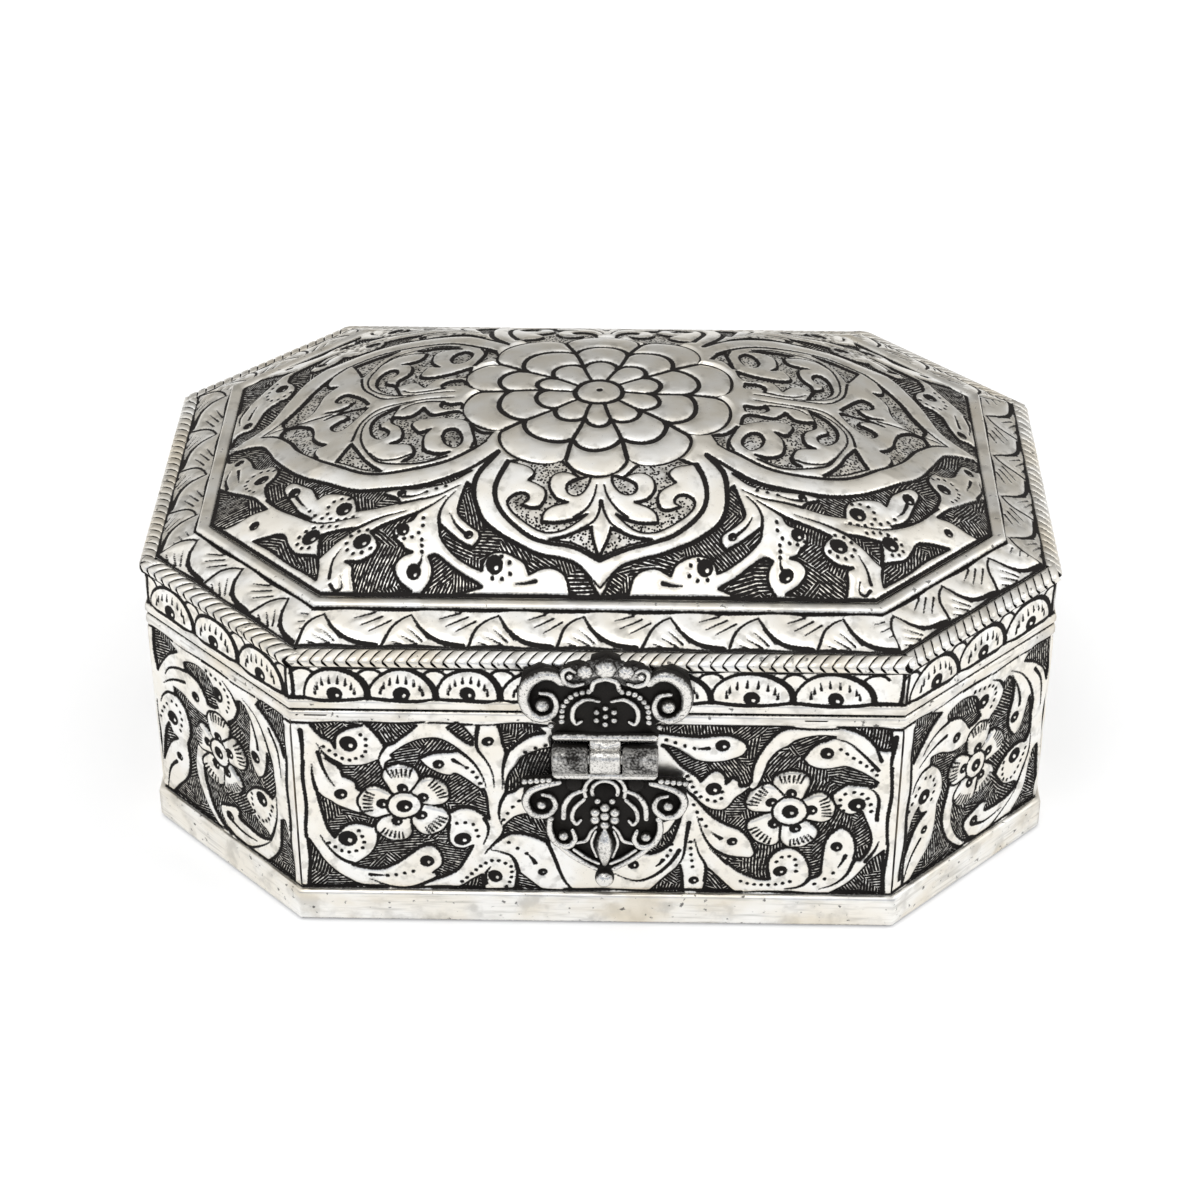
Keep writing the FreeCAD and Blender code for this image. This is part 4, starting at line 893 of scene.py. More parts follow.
CORNER_CUTS = (
    ((-14.8, 30.9), (-13.5, 32.8), (-11.4, 34), (-8.8, 34.5)),
    ((-15.6, 28.8), (-13.5, 30.3), (-11.4, 31.3), (-9.4, 31.8)),
    ((-17, 24), (-16.4, 25.7), (-14.8, 27.2), (-12.6, 27.6)),
    ((-17.5, 5.7), (-16.6, 8.6), (-15.6, 11.1), (-14.1, 13)),
    ((1.5, 37.9), (3.6, 36.5), (5, 34.5)),
    ((6.9, 35.9), (8.6, 33.2), (9.8, 30.3), (10, 28.6)),
    ((6.5, 37), (9.8, 34.9), (11.9, 32), (13.4, 28.2), (13.7, 25.7)),
    ((15.9, 25.7), (15, 31.2), (13.2, 34.5)),
    ((13.8, 20.7), (13.8, 16.5), (12.8, 13.6), (11.2, 10.5)),
    ((7.8, 8), (3.6, 7.6), (0.7, 8.2)),
    ((11.1, 9.9), (9, 7.8), (5.7, 5.7), (2.3, 5.1), (-0.4, 5.9)),
    ((-18, 24), (-18.2, 15), (-18.6, 7)),
    ((17.5, 33), (17.1, 25), (17.3, 16)),
)
CORNER_DOTS = (
    ((-13.9, 25.6), (-12.5, 25.3), (-11.5, 23.9), (-11.5, 22.2), (-11.9, 20.5)),
    ((-15.4, 24.3), (-16.3, 22.8), (-17.3, 20.6)),
    ((-2.7, 37.5), (-0.3, 37.2), (1, 37), (2.3, 36), (2.9, 34.8), (2.8, 33.2), (2.2, 32)),
    ((7.3, 17.7), (7.1, 16.1), (7.4, 14.4), (8.6, 13.6), (9.8, 13.6), (11.3, 14.7), (12.2, 16.4),
     (12.8, 18.2)),
)
CORNER_EYES = (
    (-6.6, 30.3, 0.95), (-13.9, 22, 1.35), (-13.1, 14.6, 0.85), (0, 34.3, 1.35), (9, 26.5, 1.15),
    (10, 18, 1.4), (0.4, 9, 1.05),
)
END_SUNK = (
    ((-18, 38.8),), ((-25.2, 38.8),), ((-25.2, 4.2),), ((-18, 4.2),),
)
END_VINE = ((-24, 5, 0.7), (-21.2, 12, 1.2), (-20.6, 22, 1.2), (-21.4, 31, 1.1), (-20, 38, 0.7))
END_LEAF = (
    ((-24.4, 35, 0.4), (-24, 30, 1.2), (-23.4, 25, 1.4), (-23.2, 20, 0.4)),
    (-23.6, 26.4, 0.7),
    ((-24, 32), (-23.8, 30), (-23.6, 28.4)),
)
HASP_SUNK = (
    ((-7.2, 37), (0, 37.6)), ((7.2, 37), (7.4, 27)), ((7, 17.4), (0, 16.4)), ((-7, 17.4), (-7.4, 27)),
)
BACK_SUNK = (
    ((-8.4, 36), (-4, 38.6)), ((0, 39),), ((0, 4.4), (-2.6, 5.4), (-5, 8.4), (-6.6, 12)),
    ((-7.6, 16), (-8, 26)),
)
BACK_FLOWER = ((0, 24, 2.5), tuple(arc((0, 24), 5.6, 90, 378, 5)), 2.75)
BACK_VINES = (((-7.6, 18, 0.4), (-6.4, 13, 1.1), (-3.6, 9.4, 1.2), (0, 8.2, 1.2)),)
BACK_LEAVES = (
    (((-1, 39.6, 0.5), (-3.6, 37.2, 1.5), (-5, 34.4, 1.7), (-4.8, 32, 0.4)), (-4.6, 35.2, 0.8),
     ((-2.4, 38.4), (-3, 37.8), (-3.8, 37))),
    (((-0.6, 16.6, 0.4), (-2.2, 14.6, 1.3), (-3, 12.8, 1.2), (-3.2, 11.4, 0.3)), (-2.4, 14, 0.7),
     ((-2.8, 12.6), (-3, 12), (-3.1, 11.6))),
)


# Places of the cuts across each petal of a flower, and the pitch and length of the walls' broken lines
PETAL_CUTS = (-1.9, -1.15, -0.4, 0.4, 1.15, 1.9)
DASH_PITCH = 7.3
DASH_LENGTH = 6.8


def flower(chasing, heart, petals, radius):
    """Broad petals with a pit and fanned cuts, packed about a ringed heart."""
    cx, cy, size = heart
    for px, py in petals:
        out = np.array([px - cx, py - cy]) / math.hypot(px - cx, py - cy)
        beside = np.array([-out[1], out[0]])
        base = np.array([cx, cy]) + out * size * 0.7
        tip = np.array([px, py]) + out * 0.1
        lobes = [[(*base, 1.5), (*(tip + beside * hand), radius - 0.75)] for hand in (-1, 1)]
        chasing.raised(*lobes, [(*base, 1.5), (*tip, radius - 0.4)], rise=0.2, edge=1.6)
        for step in PETAL_CUTS:
            near = tip + beside * step * 0.8 + out * (0.2 - 0.1 * abs(step))
            chasing.stroke([near, near + out * 1.4 + beside * step * 0.25], 0.12, 0.2)
        chasing.eye(tuple(base + out * 1.7), 0.95)
    chasing.raised([(cx, cy, size)], rise=0.3, edge=1.4)
    chasing.eye((cx, cy), size * 0.5)


def ornament(chasing, sunk, cuts, dots, eyes):
    """Leaves and vines left standing between patches of sunk ground, with their cuts, dots and eyes."""
    for runs in sunk:
        chasing.sink(runs)
    for cut in cuts:
        chasing.stroke(smooth(cut), 0.1, 0.36)
    for run in dots:
        chasing.dot_row(run, 1.1, 0.33)
    for x, y, radius in eyes:
        chasing.eye((x, y), radius)


def sprays(chasing, vines, leaves):
    """Vines as one flowing shape with leaves over them, on sunk ground."""
    chasing.raised(*vines, rise=0.06, edge=0.5)
    for spine, eye, dots in leaves:
        chasing.raised(spine, rise=0.06, edge=0.5)
        chasing.dot_row(dots, 1.2, 0.3)
        chasing.eye(eye[:2], eye[2])


def wall_frame(chasing, half, posts):
    """Cut lines beside the plain posts, and broken lines along the foot and the top."""
    chasing.put()
    low, high = FRONT_LOW[2], FRONT_HIGH[2] - 1.7
    post_cuts = ((33, 39, 0.22, 0.46), (17, 32.6, 0.26, 0.32), (low + 0.6, 17.6, 0.34, 0.2))
    for place in posts:
        for foot, head, foot_half, head_half in post_cuts:
            chasing.stroke([(place, foot), (place + 0.15, head)], foot_half, head_half)
    for number, place in enumerate(np.arange(-half, half, DASH_PITCH)):
        for level, width in ((low + 0.3, 0.3), (high, 0.2)):
            thick = width * (1 + 0.6 * math.sin(2.3 * number + level))
            end = (place + DASH_LENGTH, level + 0.15 * math.sin(number))
            chasing.stroke([(place, level), end], thick, width)
    chasing.raise_metal()


LONG_POSTS = (-47.4, 47.4)
END_POSTS = (-25.4, 25.4)
LEFT_WALL = (LEFT_SUNK, LEFT_CUTS, LEFT_DOTS, LEFT_EYES)
RIGHT_WALL = (RIGHT_SUNK, RIGHT_CUTS, RIGHT_DOTS, RIGHT_EYES)
CORNER_WALL = (CORNER_SUNK, CORNER_CUTS, CORNER_DOTS, CORNER_EYES)


def draw_front(chasing, half):
    """Both halves of the front, and sunk ground behind the hasp."""
    chasing.put(shift=(0, WALL_LIFT))
    for panel, given in zip((LEFT_WALL, RIGHT_WALL), FLOWERS):
        ornament(chasing, *panel)
        flower(chasing, *given)
    chasing.sink(HASP_SUNK)
    wall_frame(chasing, half, LONG_POSTS)


def draw_back(chasing, half):
    """The front's left half on both hands, with a flower and leaves in the middle."""
    for hand in (1, -1):
        chasing.put((hand, 1), (0, WALL_LIFT))
        ornament(chasing, *LEFT_WALL)
        flower(chasing, *FLOWERS[0])
        chasing.sink(BACK_SUNK)
    for hand in (1, -1):
        chasing.put((hand, 1))
        sprays(chasing, BACK_VINES, BACK_LEAVES)
    flower(chasing, *BACK_FLOWER)
    wall_frame(chasing, half, LONG_POSTS)


def draw_left_corner(chasing, half, shift=-0.4):
    """Corner panel with a cut line beside the long wall."""
    chasing.put(shift=(shift, WALL_LIFT))
    ornament(chasing, *CORNER_WALL)
    flower(chasing, *CORNER_FLOWER)
    wall_frame(chasing, half, (shift + 17.2,) if shift < 0 else (shift - 17.8,))


def draw_right_corner(chasing, half):
    """The same panel moved over, with its cut line on the other hand."""
    draw_left_corner(chasing, half, 1.6)


def draw_end(chasing, half):
    """The corner panel's ornament between two vines."""
    for hand in (1, -1):
        chasing.put((hand, 1), (0, WALL_LIFT))
        chasing.sink(END_SUNK)
        sprays(chasing, (END_VINE,), (END_LEAF,))
    chasing.put(shift=(0, WALL_LIFT))
    ornament(chasing, *CORNER_WALL)
    flower(chasing, *CORNER_FLOWER)
    wall_frame(chasing, half, END_POSTS)


WALL_DRAWINGS = {
    "front": draw_front,
    "front_right": draw_right_corner,
    "right": draw_end,
    "back_right": draw_left_corner,
    "back": draw_back,
    "back_left": draw_right_corner,
    "left": draw_end,
    "front_left": draw_left_corner,
}


# Sheet metal of the lid and the walls

def chased_piece(mesh, name, body, node, settings):
    """Finish a chased sheet that stands for one CAD node."""
    mesh.piece(name, finish_named("chased_metal", settings), body, "chased_white_metal", [node])


def wall_plate(number, settings):
    """One chased plate of the base, mitred to its neighbours."""
    start, end = (each[number] for each in side_ends(WALL_INSET))
    length = np.linalg.norm(end - start)
    spacing = settings.grid / MM
    across = np.linspace(-length / 2, length / 2, round(length / spacing) + 1)
    up = np.linspace(FRONT_LOW[2], FRONT_HIGH[2], round((FRONT_HIGH[2] - FRONT_LOW[2]) / spacing) + 1)
    across, up = np.meshgrid(across, up)
    chasing = Chasing(across, up, number)
    WALL_DRAWINGS[SIDES[number]](chasing, length / 2)
    chasing.cut_marks()
    along, outward = side_direction(number)
    front = np.empty((*across.shape, 3))
    front[..., :2] = (start + end) / 2 + across[..., None] * along
    front[..., :2] += chasing.relief.reshape(across.shape)[..., None] * outward
    front[..., 2] = up
    share = (across / length + 0.5)[..., None]
    inner_start, inner_end = (each[number] for each in side_ends(WALL_INSET + SHEET))
    back = np.empty_like(front)
    back[..., :2] = inner_start + (inner_end - inner_start) * share
    back[..., 2] = up
    mesh = Mesh()
    mesh.plate(front, back, chasing.fields())
    node = "base_" + SIDES[number] + "_plate"
    chased_piece(mesh, "chased_" + node, "base", node, settings)


def outline_shell(columns, inset, height):
    """Places at given insets and heights, for rows of columns round the outline."""
    start = outline_points(columns, 0)
    drift = outline_points(columns, 1) - start
    rows = np.empty((*np.shape(inset), 3))
    rows[..., :2] = start + drift * np.asarray(inset)[..., None]
    rows[..., 2] = height
    return rows


def outline_chasing(columns, inset, up, draw):
    """Relief and fields for rows round the outline, each with its own inset and place upwards."""
    relief = np.empty((len(up), len(columns)))
    fields = {}
    ends = [side_ends(each) for each in inset]
    for side in range(len(SIDES)):
        own = columns[:, 0] == side
        lengths = np.array([np.linalg.norm(end[side] - start[side]) for start, end in ends])
        across = (columns[own, 1] - 0.5) * lengths[:, None]
        chasing = Chasing(across, np.repeat(np.array(up)[:, None], own.sum(), axis=1), side)
        draw(chasing, side, lengths[0] / 2)
        relief[:, own] = chasing.relief.reshape(across.shape)
        for name, given in chasing.fields().items():
            fields.setdefault(name, np.empty_like(relief))[:, own] = given
    return relief, fields


def backed(front_fields, count):
    """The same fields with some unmarked rows after them."""
    marked = {}
    for name, given in front_fields.items():
        marked[name] = np.vstack([given, np.full((count, given.shape[1]), FAR)])
    return marked


FRONT_ARCHES = (-46.5, -36, -25.5, -15, -4.5, 6, 18, 31, 44)
ARCH_PITCH = 11.6


def arch_edges(side, half):
    """Where the arches of the skirt meet along one side."""
    if side == 0:
        return FRONT_ARCHES
    post = 2.4 if half > 20 else 1.2
    count = max(3, round(2 * (half - post) / ARCH_PITCH))
    return np.linspace(post - half, half - post, count + 1)


def draw_skirt(chasing, side, half):
    """Scallops with a ball at the foot of each one and fanned cuts round it."""
    foot, top = SKIRT_LOW[2] + 1.7, SKIRT_HIGH[2] - 0.7
    rise = top - foot
    edges = arch_edges(side, half)
    for left, right in zip(edges, edges[1:]):
        middle, wide = (left + right) / 2, (right - left) / 2
        places = chasing.distance([[(middle, foot, wide)]], 0.5)[0]
        bowl = np.hypot((chasing.across[places] - middle) / wide, (chasing.up[places] - foot) / rise)
        chasing.relief[places] += 0.5 * np.clip(1 - bowl ** 4, 0, 1)
        rim = []
        for t in np.radians(np.linspace(0, 180, 15)):
            rim.append((middle - wide * math.cos(t), foot - 0.6 + (rise + 0.8) * math.sin(t) ** 0.85))
        chasing.stroke(rim, 0.16, 0.56)
        chasing.eye((middle, foot + 1), 1.3)
        for angle in np.linspace(8, 172, 8):
            t = math.radians(angle)
            near = (middle + 0.62 * wide * math.cos(t), foot + 0.5 + 2.6 * math.sin(t))
            chasing.stroke([near, (near[0], near[1] + 0.6), (near[0], near[1] + 1.2)], 0.26, 0.08)
    for place in edges:
        cap = []
        for t in np.radians(np.linspace(30, 150, 7)):
            cap.append((place + 2.2 * math.cos(t), top - 1.9 + 2.1 * math.sin(t)))
        chasing.stroke(cap, 0.24)
    for hand in (-1, 1):
        chasing.stroke([(hand * (half - 0.5), foot - 2), (hand * (half - 0.5), top + 1)], 0.3)
    for level, width in ((SKIRT_HIGH[2], 0.4), (LID_BEAD_HIGH[2] + 0.1, 0.35)):
        chasing.stroke([(-half, level), (half, level)], width)


def skirt_sheet(settings):
    """Scalloped sheet round the side of the lid."""
    columns = side_columns(settings.grid / MM * BAND_SPACING)
    low, high = SKIRT_LOW[2], SKIRT_HIGH[2]
    up = np.linspace(low, high, round((high - low) / (settings.grid / MM)))
    relief, fields = outline_chasing(columns, np.full(len(up), WALL_INSET), up, draw_skirt)
    front = outline_shell(columns, WALL_INSET - relief, up[:, None])
    inner = np.full((2, len(columns)), WALL_INSET + SHEET)
    mesh = Mesh()
    mesh.folded(front, outline_shell(columns, inner, np.array([[high], [low]])), fields)
    chased_piece(mesh, "chased_skirt", "lid", "lid_skirt_sheet", settings)


# Leaves of the band: their pitch, and the foot of the band, given a ground value so that tarnish and
# painted shade darken it as if it were half a hollow
LEAF_PITCH = 14
LEAF_FOOT = 1.0
LEAF_FOOT_GROUND = -0.3
LEAF_RISE = ((0.4, 0.6), (1.6, 3.4), (3.2, 4.9), (4.8, 5.6))
LEAF_FALL = ((4.8, 5.7), (5.5, 4.4), (6.6, 2.8), (9, 1.3), (13.4, 0.5))
LEAF_CUTS = (
    ((3.2, 1.9), (5.8, 0.5)), ((4.3, 3), (6.6, 1)), ((5.6, 3.5), (7.7, 1.4)), ((2, 1), (3.4, 0.4)),
    ((9.6, 4.8), (12.7, 6)), ((10.6, 3.6), (14, 5.4)), ((12.1, 2.8), (15.4, 4.7)),
)


def draw_leaf_band(chasing, side, half):
    """Overlapping leaves between the rope and the bar, each with slanting cuts."""
    count = max(2, round(2 * half / LEAF_PITCH))
    pitch = 2 * half / count
    for step in range(-1, count + 1):
        chasing.put((pitch / LEAF_PITCH, 1), (step * pitch - half, 0))
        chasing.stroke(smooth(LEAF_RISE), 0.26, 0.16)
        chasing.stroke(smooth(LEAF_FALL), 0.16, 0.42)
        for cut in LEAF_CUTS:
            chasing.stroke(cut, 0.08, 0.19)
    chasing.put()
    chasing.relief += 0.24 * chasing.swell(0.7)
    chasing.ground[chasing.up < LEAF_FOOT] = LEAF_FOOT_GROUND
    for level in (0, chasing.up.max()):
        chasing.stroke([(-half, level), (half, level)], 0.42)


def leaf_band(settings):
    """Sloping band of leaves between the rope rim and the bar."""
    columns = side_columns(settings.grid / MM * BAND_SPACING)
    wide, tall = BAR_OUTER - GROOVE_INSET, BAR_FOOT - TOP_LOW[2]
    slope = math.hypot(wide, tall)
    share = np.linspace(0, 1, round(slope / (settings.grid / MM)))
    relief, fields = outline_chasing(columns, GROOVE_INSET + wide * share, wide * share, draw_leaf_band)
    relief = relief + 0.3 * np.sin(math.pi * share)[:, None]
    inset = GROOVE_INSET + wide * share[:, None] - relief * tall / slope
    height = TOP_LOW[2] + tall * share[:, None] + relief * wide / slope
    front = outline_shell(columns, inset, height)
    ends = np.array([[BAR_OUTER], [GROOVE_INSET]]) * np.ones(len(columns))
    rear = outline_shell(columns, ends, np.array([[BAR_FOOT - SHEET], [TOP_LOW[2] - SHEET]]))
    mesh = Mesh()
    mesh.ring(np.concatenate([front, rear]), backed(fields, len(rear)))
    chased_piece(mesh, "chased_leaf_band", "lid", "lid_top_sheet", settings)


SECTION_STEP = 0.35
MOULDING_SPACING = 1.2


def moulding(name, profile, seams, settings, body, nodes, reach=0.3):
    """A plain folded strip round the whole outline, from (inset, height) corners of its section.

    Each seam is the place along the section where a blackened line runs.
    """
    section = np.array(profile, float)
    dense = []
    for a, b in zip(section, np.roll(section, -1, axis=0)):
        steps = max(1, round(np.linalg.norm(b - a) / SECTION_STEP))
        dense += [a + (b - a) * step / steps for step in range(steps)]
    dense = np.array(dense)
    columns = side_columns(MOULDING_SPACING)
    ones = np.ones(len(columns))
    rows = outline_shell(columns, dense[:, :1] * ones, dense[:, 1:])
    away = np.full(len(dense), FAR)
    for seam in seams:
        away = np.minimum(away, np.linalg.norm(dense - np.array(seam), axis=1) - reach)
    mesh = Mesh()
    mesh.ring(rows, {"ink": away[:, None] * ones})
    mesh.piece(name, finish_named("plain_metal", settings), body, "chased_white_metal", nodes)


def rounded(low_inset, high_inset, low, high, radius):
    """Section of a folded bead: square at the back, and rounded outside, where the inset is lower."""
    section = [(high_inset, low)]
    for height, start in ((low + radius, 270), (high - radius, 180)):
        section += arc((low_inset + radius, height), radius, start, start - 90, 5)
    return section + [(high_inset, high)]


def mouldings(settings):
    """Plinth and the two beads at the split between base and lid."""
    bead = WALL_INSET + SHEET
    moulding("plain_base_bead", rounded(BEAD_INSET, bead, BASE_BEAD_LOW[2], BASE_BEAD_HIGH[2], 0.6),
             [(BEAD_INSET + 0.6, BASE_BEAD_LOW[2]), (BEAD_INSET + 0.7, BASE_BEAD_HIGH[2])], settings,
             "base", ["base_top_bead"])
    moulding("plain_lid_bead", rounded(BEAD_INSET, bead, LID_BEAD_LOW[2], LID_BEAD_HIGH[2], 0.6),
             [(BEAD_INSET + 0.6, LID_BEAD_LOW[2]), (BEAD_INSET + 0.6, LID_BEAD_HIGH[2])], settings,
             "lid", ["lid_lower_bead"])
    # The seam along the plinth's foot is a dark line with painted contact shadow under the bottom edge
    moulding("plain_plinth", rounded(PLINTH_INSET, bead, PLINTH_LOW[2], PLINTH_HIGH[2], 0.7),
             [(WALL_INSET, PLINTH_HIGH[2]), (PLINTH_INSET + 0.3, PLINTH_LOW[2])], settings, "base",
             ["plinth_sheet"])


BAR_OUTER = GROOVE_INSET + 6.5
BAR_INNER = BAR_OUTER + 2.3
BAR_FOOT = TOP_LOW[2] + 2.8
BAR_TOP = BAR_FOOT + 1.0


def top_bar(settings):
    """Plain raised bar between the leaf band and the dome."""
    section = [(BAR_OUTER, BAR_FOOT - 0.4), (BAR_OUTER, BAR_TOP - 0.45), (BAR_OUTER + 0.35, BAR_TOP),
               (BAR_OUTER + 1.15, BAR_TOP + 0.12), (BAR_INNER - 0.4, BAR_TOP), (BAR_INNER, BAR_TOP - 0.4),
               (BAR_INNER, BAR_FOOT - 0.4)]
    moulding("plain_top_bar", section, [(BAR_OUTER, BAR_FOOT + 0.2), (BAR_INNER, BAR_TOP - 0.5)], settings,
             "lid", ["lid_top_sheet"])


ROSETTE_MIDDLE = (-0.7, 0.0)
ROSETTE_LINES = (-182, -143, -105, -75, -40, -2, 33, 70, 107, 150, 178)
ROSETTE_TIERS = ((8.5, 10.8), (14.5, 17.3), (20.0, 23.5))
ROSETTE_BUTTON = 4.0
ROSETTE_REACH = 24
ROSETTE_LINE = 0.42
DOME_RISE = 13.2
DOME_HALF_LENGTH = HALF_LENGTH - BAR_INNER
DOME_HALF_DEPTH = HALF_DEPTH - BAR_INNER
DOME_SLANT = DOME_HALF_LENGTH + DOME_HALF_DEPTH - (CORNER_CUT - BAR_INNER * DIAGONAL_SHARE)


def lobed(angle, cusp, tip):
    """Radius of a ring of lobes whose cusps lie on the rosette's radial lines; angle in degrees."""
    lines = np.array(ROSETTE_LINES, float)
    wrapped = (np.asarray(angle) - lines[0]) % 360 + lines[0]
    before = np.clip(np.searchsorted(lines, wrapped, side="right") - 1, 0, len(lines) - 2)
    share = (wrapped - lines[before]) / (lines[before + 1] - lines[before])
    return cusp + (tip - cusp) * np.sin(math.pi * np.clip(share, 0, 1)) ** 0.6


def dome_height(x, y):
    """Height of the dome: an octagon at its edge that turns rounder towards the middle."""
    slant = (np.abs(x) + np.abs(y)) / DOME_SLANT
    shares = np.array([np.abs(x) / DOME_HALF_LENGTH, np.abs(y) / DOME_HALF_DEPTH, slant])
    sharp = shares.max(axis=0)
    soft = (shares ** 8).sum(axis=0) ** (1 / 8)
    reach = sharp + (soft - sharp) * np.clip(1 - sharp, 0, 1)
    return BAR_TOP + DOME_RISE * (1 - reach ** 2.7)


def dome_points(x, y, relief):
    """Dome surface at plan places, moved along its normal by some relief."""
    step = 0.05
    slope_x = (dome_height(x + step, y) - dome_height(x - step, y)) / (2 * step)
    slope_y = (dome_height(x, y + step) - dome_height(x, y - step)) / (2 * step)
    normal = np.stack([-slope_x, -slope_y, np.ones_like(slope_x)], axis=-1)
    normal /= np.linalg.norm(normal, axis=-1, keepdims=True)
    return np.stack([x, y, dome_height(x, y)], axis=-1) + normal * relief[..., None]


# Ornament of the dome's front left quarter: sunk ground in runs that meet at cusps, cuts, dots and eyes

SIDE_OUTER = (
    (-64.2, 0.2), (-61, -1.6), (-57.7, -3.6), (-56.1, -6.2), (-54.9, -9.6), (-52.9, -13.4),
    (-49.7, -17.2), (-44.9, -20.6), (-39.8, -23.3), (-35, -24.5), (-29.9, -24.6), (-25, -23.6),
    (-21.4, -21.9), (-16.7, -17.9),
)
SIDE_INNER = (
    (-58.4, 0), (-55.2, -2.2), (-52.6, -5.3), (-50.7, -9.2), (-47.8, -12.8), (-44.6, -16.2),
    (-39.8, -19.3), (-35, -20.8), (-30.2, -20.7), (-25.4, -19.5), (-21.2, -16.9), (-19, -15),
)
FRONT_OUTER = (
    (0.2, -41.4), (-2.8, -38.9), (-6, -37.7), (-9.2, -37), (-12.4, -35.8), (-15.6, -34.4), (-18.5, -32),
    (-19.8, -29.4), (-20.3, -26.3), (-19.6, -22.4), (-16.8, -18.1),
)
FRONT_INNER = (
    (0.2, -37.7), (-4.1, -36), (-7.9, -35.2), (-11.5, -34.1), (-14.4, -32), (-16.3, -29.1),
    (-16.9, -25.9), (-16.4, -23), (-15.2, -20.3),
)
SIDE_SUNK = (
    (((-54.2, -0.2), (-51.7, -0.7), (-49.6, -2.5), (-48.9, -4.7), (-48.6, -6.7), (-47.5, -8.4)),
     ((-46, -9.6), (-47.4, -10.1), (-47.8, -11.5)), ((-47.2, -13.1), (-49.1, -11.3), (-50.6, -9.2),
     (-52.4, -5.2), (-54.7, -2))),
    (((-39.8, -0.6), (-40.8, -2.3), (-42.4, -4.4), (-44.1, -6), (-45.3, -5.7), (-45.8, -4.6),
     (-44.9, -3.6)), ((-42.7, -2.6), (-43.3, -1.4), (-44.9, -0.8)), ((-47, -1.2), (-44, -0.2),
     (-41, -0.1))),
    (((-41.6, -11.2), (-42.7, -13.7)), ((-43.8, -15.8), (-41.4, -17.3), (-39.2, -18.6)), ((-36, -19.9),
     (-38.9, -16.5), (-40.4, -13.7))),
    (((-34.4, -1.9), (-37.2, -3.8), (-38.5, -5.7), (-38.8, -7.6), (-38.4, -9.9), (-37.2, -11.4),
     (-36, -11.1), (-35.6, -9.8), (-36.3, -8.7)), ((-37.2, -8), (-37, -6.6), (-35.4, -5.4))),
    (((-35, -5.2), (-33.1, -5.9), (-31.5, -5.5)), ((-30.2, -3.5), (-29.4, -4.9), (-28.2, -5.9),
     (-24.7, -5.5), (-23.2, -6.6)), ((-22.5, -8.9), (-24.4, -7.9), (-26.7, -7.1), (-29.2, -6.8),
     (-31.1, -7.3), (-31.6, -8.4), (-31, -9.9), (-30.2, -10.9)), ((-28.3, -10.4), (-29.5, -12.2),
     (-29.6, -15), (-28.9, -16.5), (-27, -17.4)), ((-25, -17.2), (-27.3, -18.3), (-29.9, -18.7)),
     ((-32.4, -18.4), (-30.9, -17), (-31.2, -14.8), (-32.4, -13.6)), ((-35, -13.1), (-33.5, -12.3),
     (-33.1, -10.5), (-33.6, -8.6), (-35, -7))),
    (((-21.9, -9.6), (-20.2, -12)), ((-18, -12.6), (-19.1, -15)), ((-20.5, -16.4), (-20.7, -14))),
    (((-26.3, -12.9), (-25.6, -11.3), (-24.2, -11.2), (-23.1, -12.8), (-23, -14.7), (-24.3, -16),
     (-25.8, -14.9)),),
    (((-27, -2.2), (-27.3, -3.5), (-26, -4.5)), ((-23.8, -4.6), (-23.6, -3), (-25.6, -3))),
)
FRONT_SUNK = (
    (((-14.8, -20.2), (-12.4, -20.8), (-11.1, -21.8), (-10.8, -22.9)), ((-11.8, -24.2), (-10.3, -25.1),
     (-9.1, -26.2), (-8.9, -27.7), (-9.6, -29.3), (-11, -29.6)), ((-12.6, -29), (-11.6, -28.2),
     (-11.7, -27.3), (-12.5, -26.8), (-13.5, -26.9), (-14.5, -27.7), (-14.7, -28.9), (-13.6, -30.7),
     (-11.1, -32.5), (-8.6, -33.4), (-6, -33.2), (-4.1, -32.2)), ((-2.2, -30.6), (-4.4, -31.4),
     (-6.7, -31.8)), ((-9.2, -31.8), (-8.9, -30.2), (-7.6, -29)), ((-5.4, -28.3), (-7.3, -27.6),
     (-8.3, -25.9), (-8.2, -24.2), (-7.4, -23.1), (-6, -22.6), (-4.4, -22.9)), ((-3.2, -23.7),
     (-5.5, -21), (-9, -18))),
    (((-1.4, -22.8), (-1.7, -24.6), (-2.8, -26.4), (-4.1, -27), (-5.2, -26.6), (-5.5, -25.6),
     (-4.7, -24.5)),),
    (((-7.9, -34.6), (-5.1, -34.1), (-2.8, -33.2)), ((-1.3, -32.8), (-1, -34.4)), ((0.1, -37.2),
     (-4, -35.4))),
)
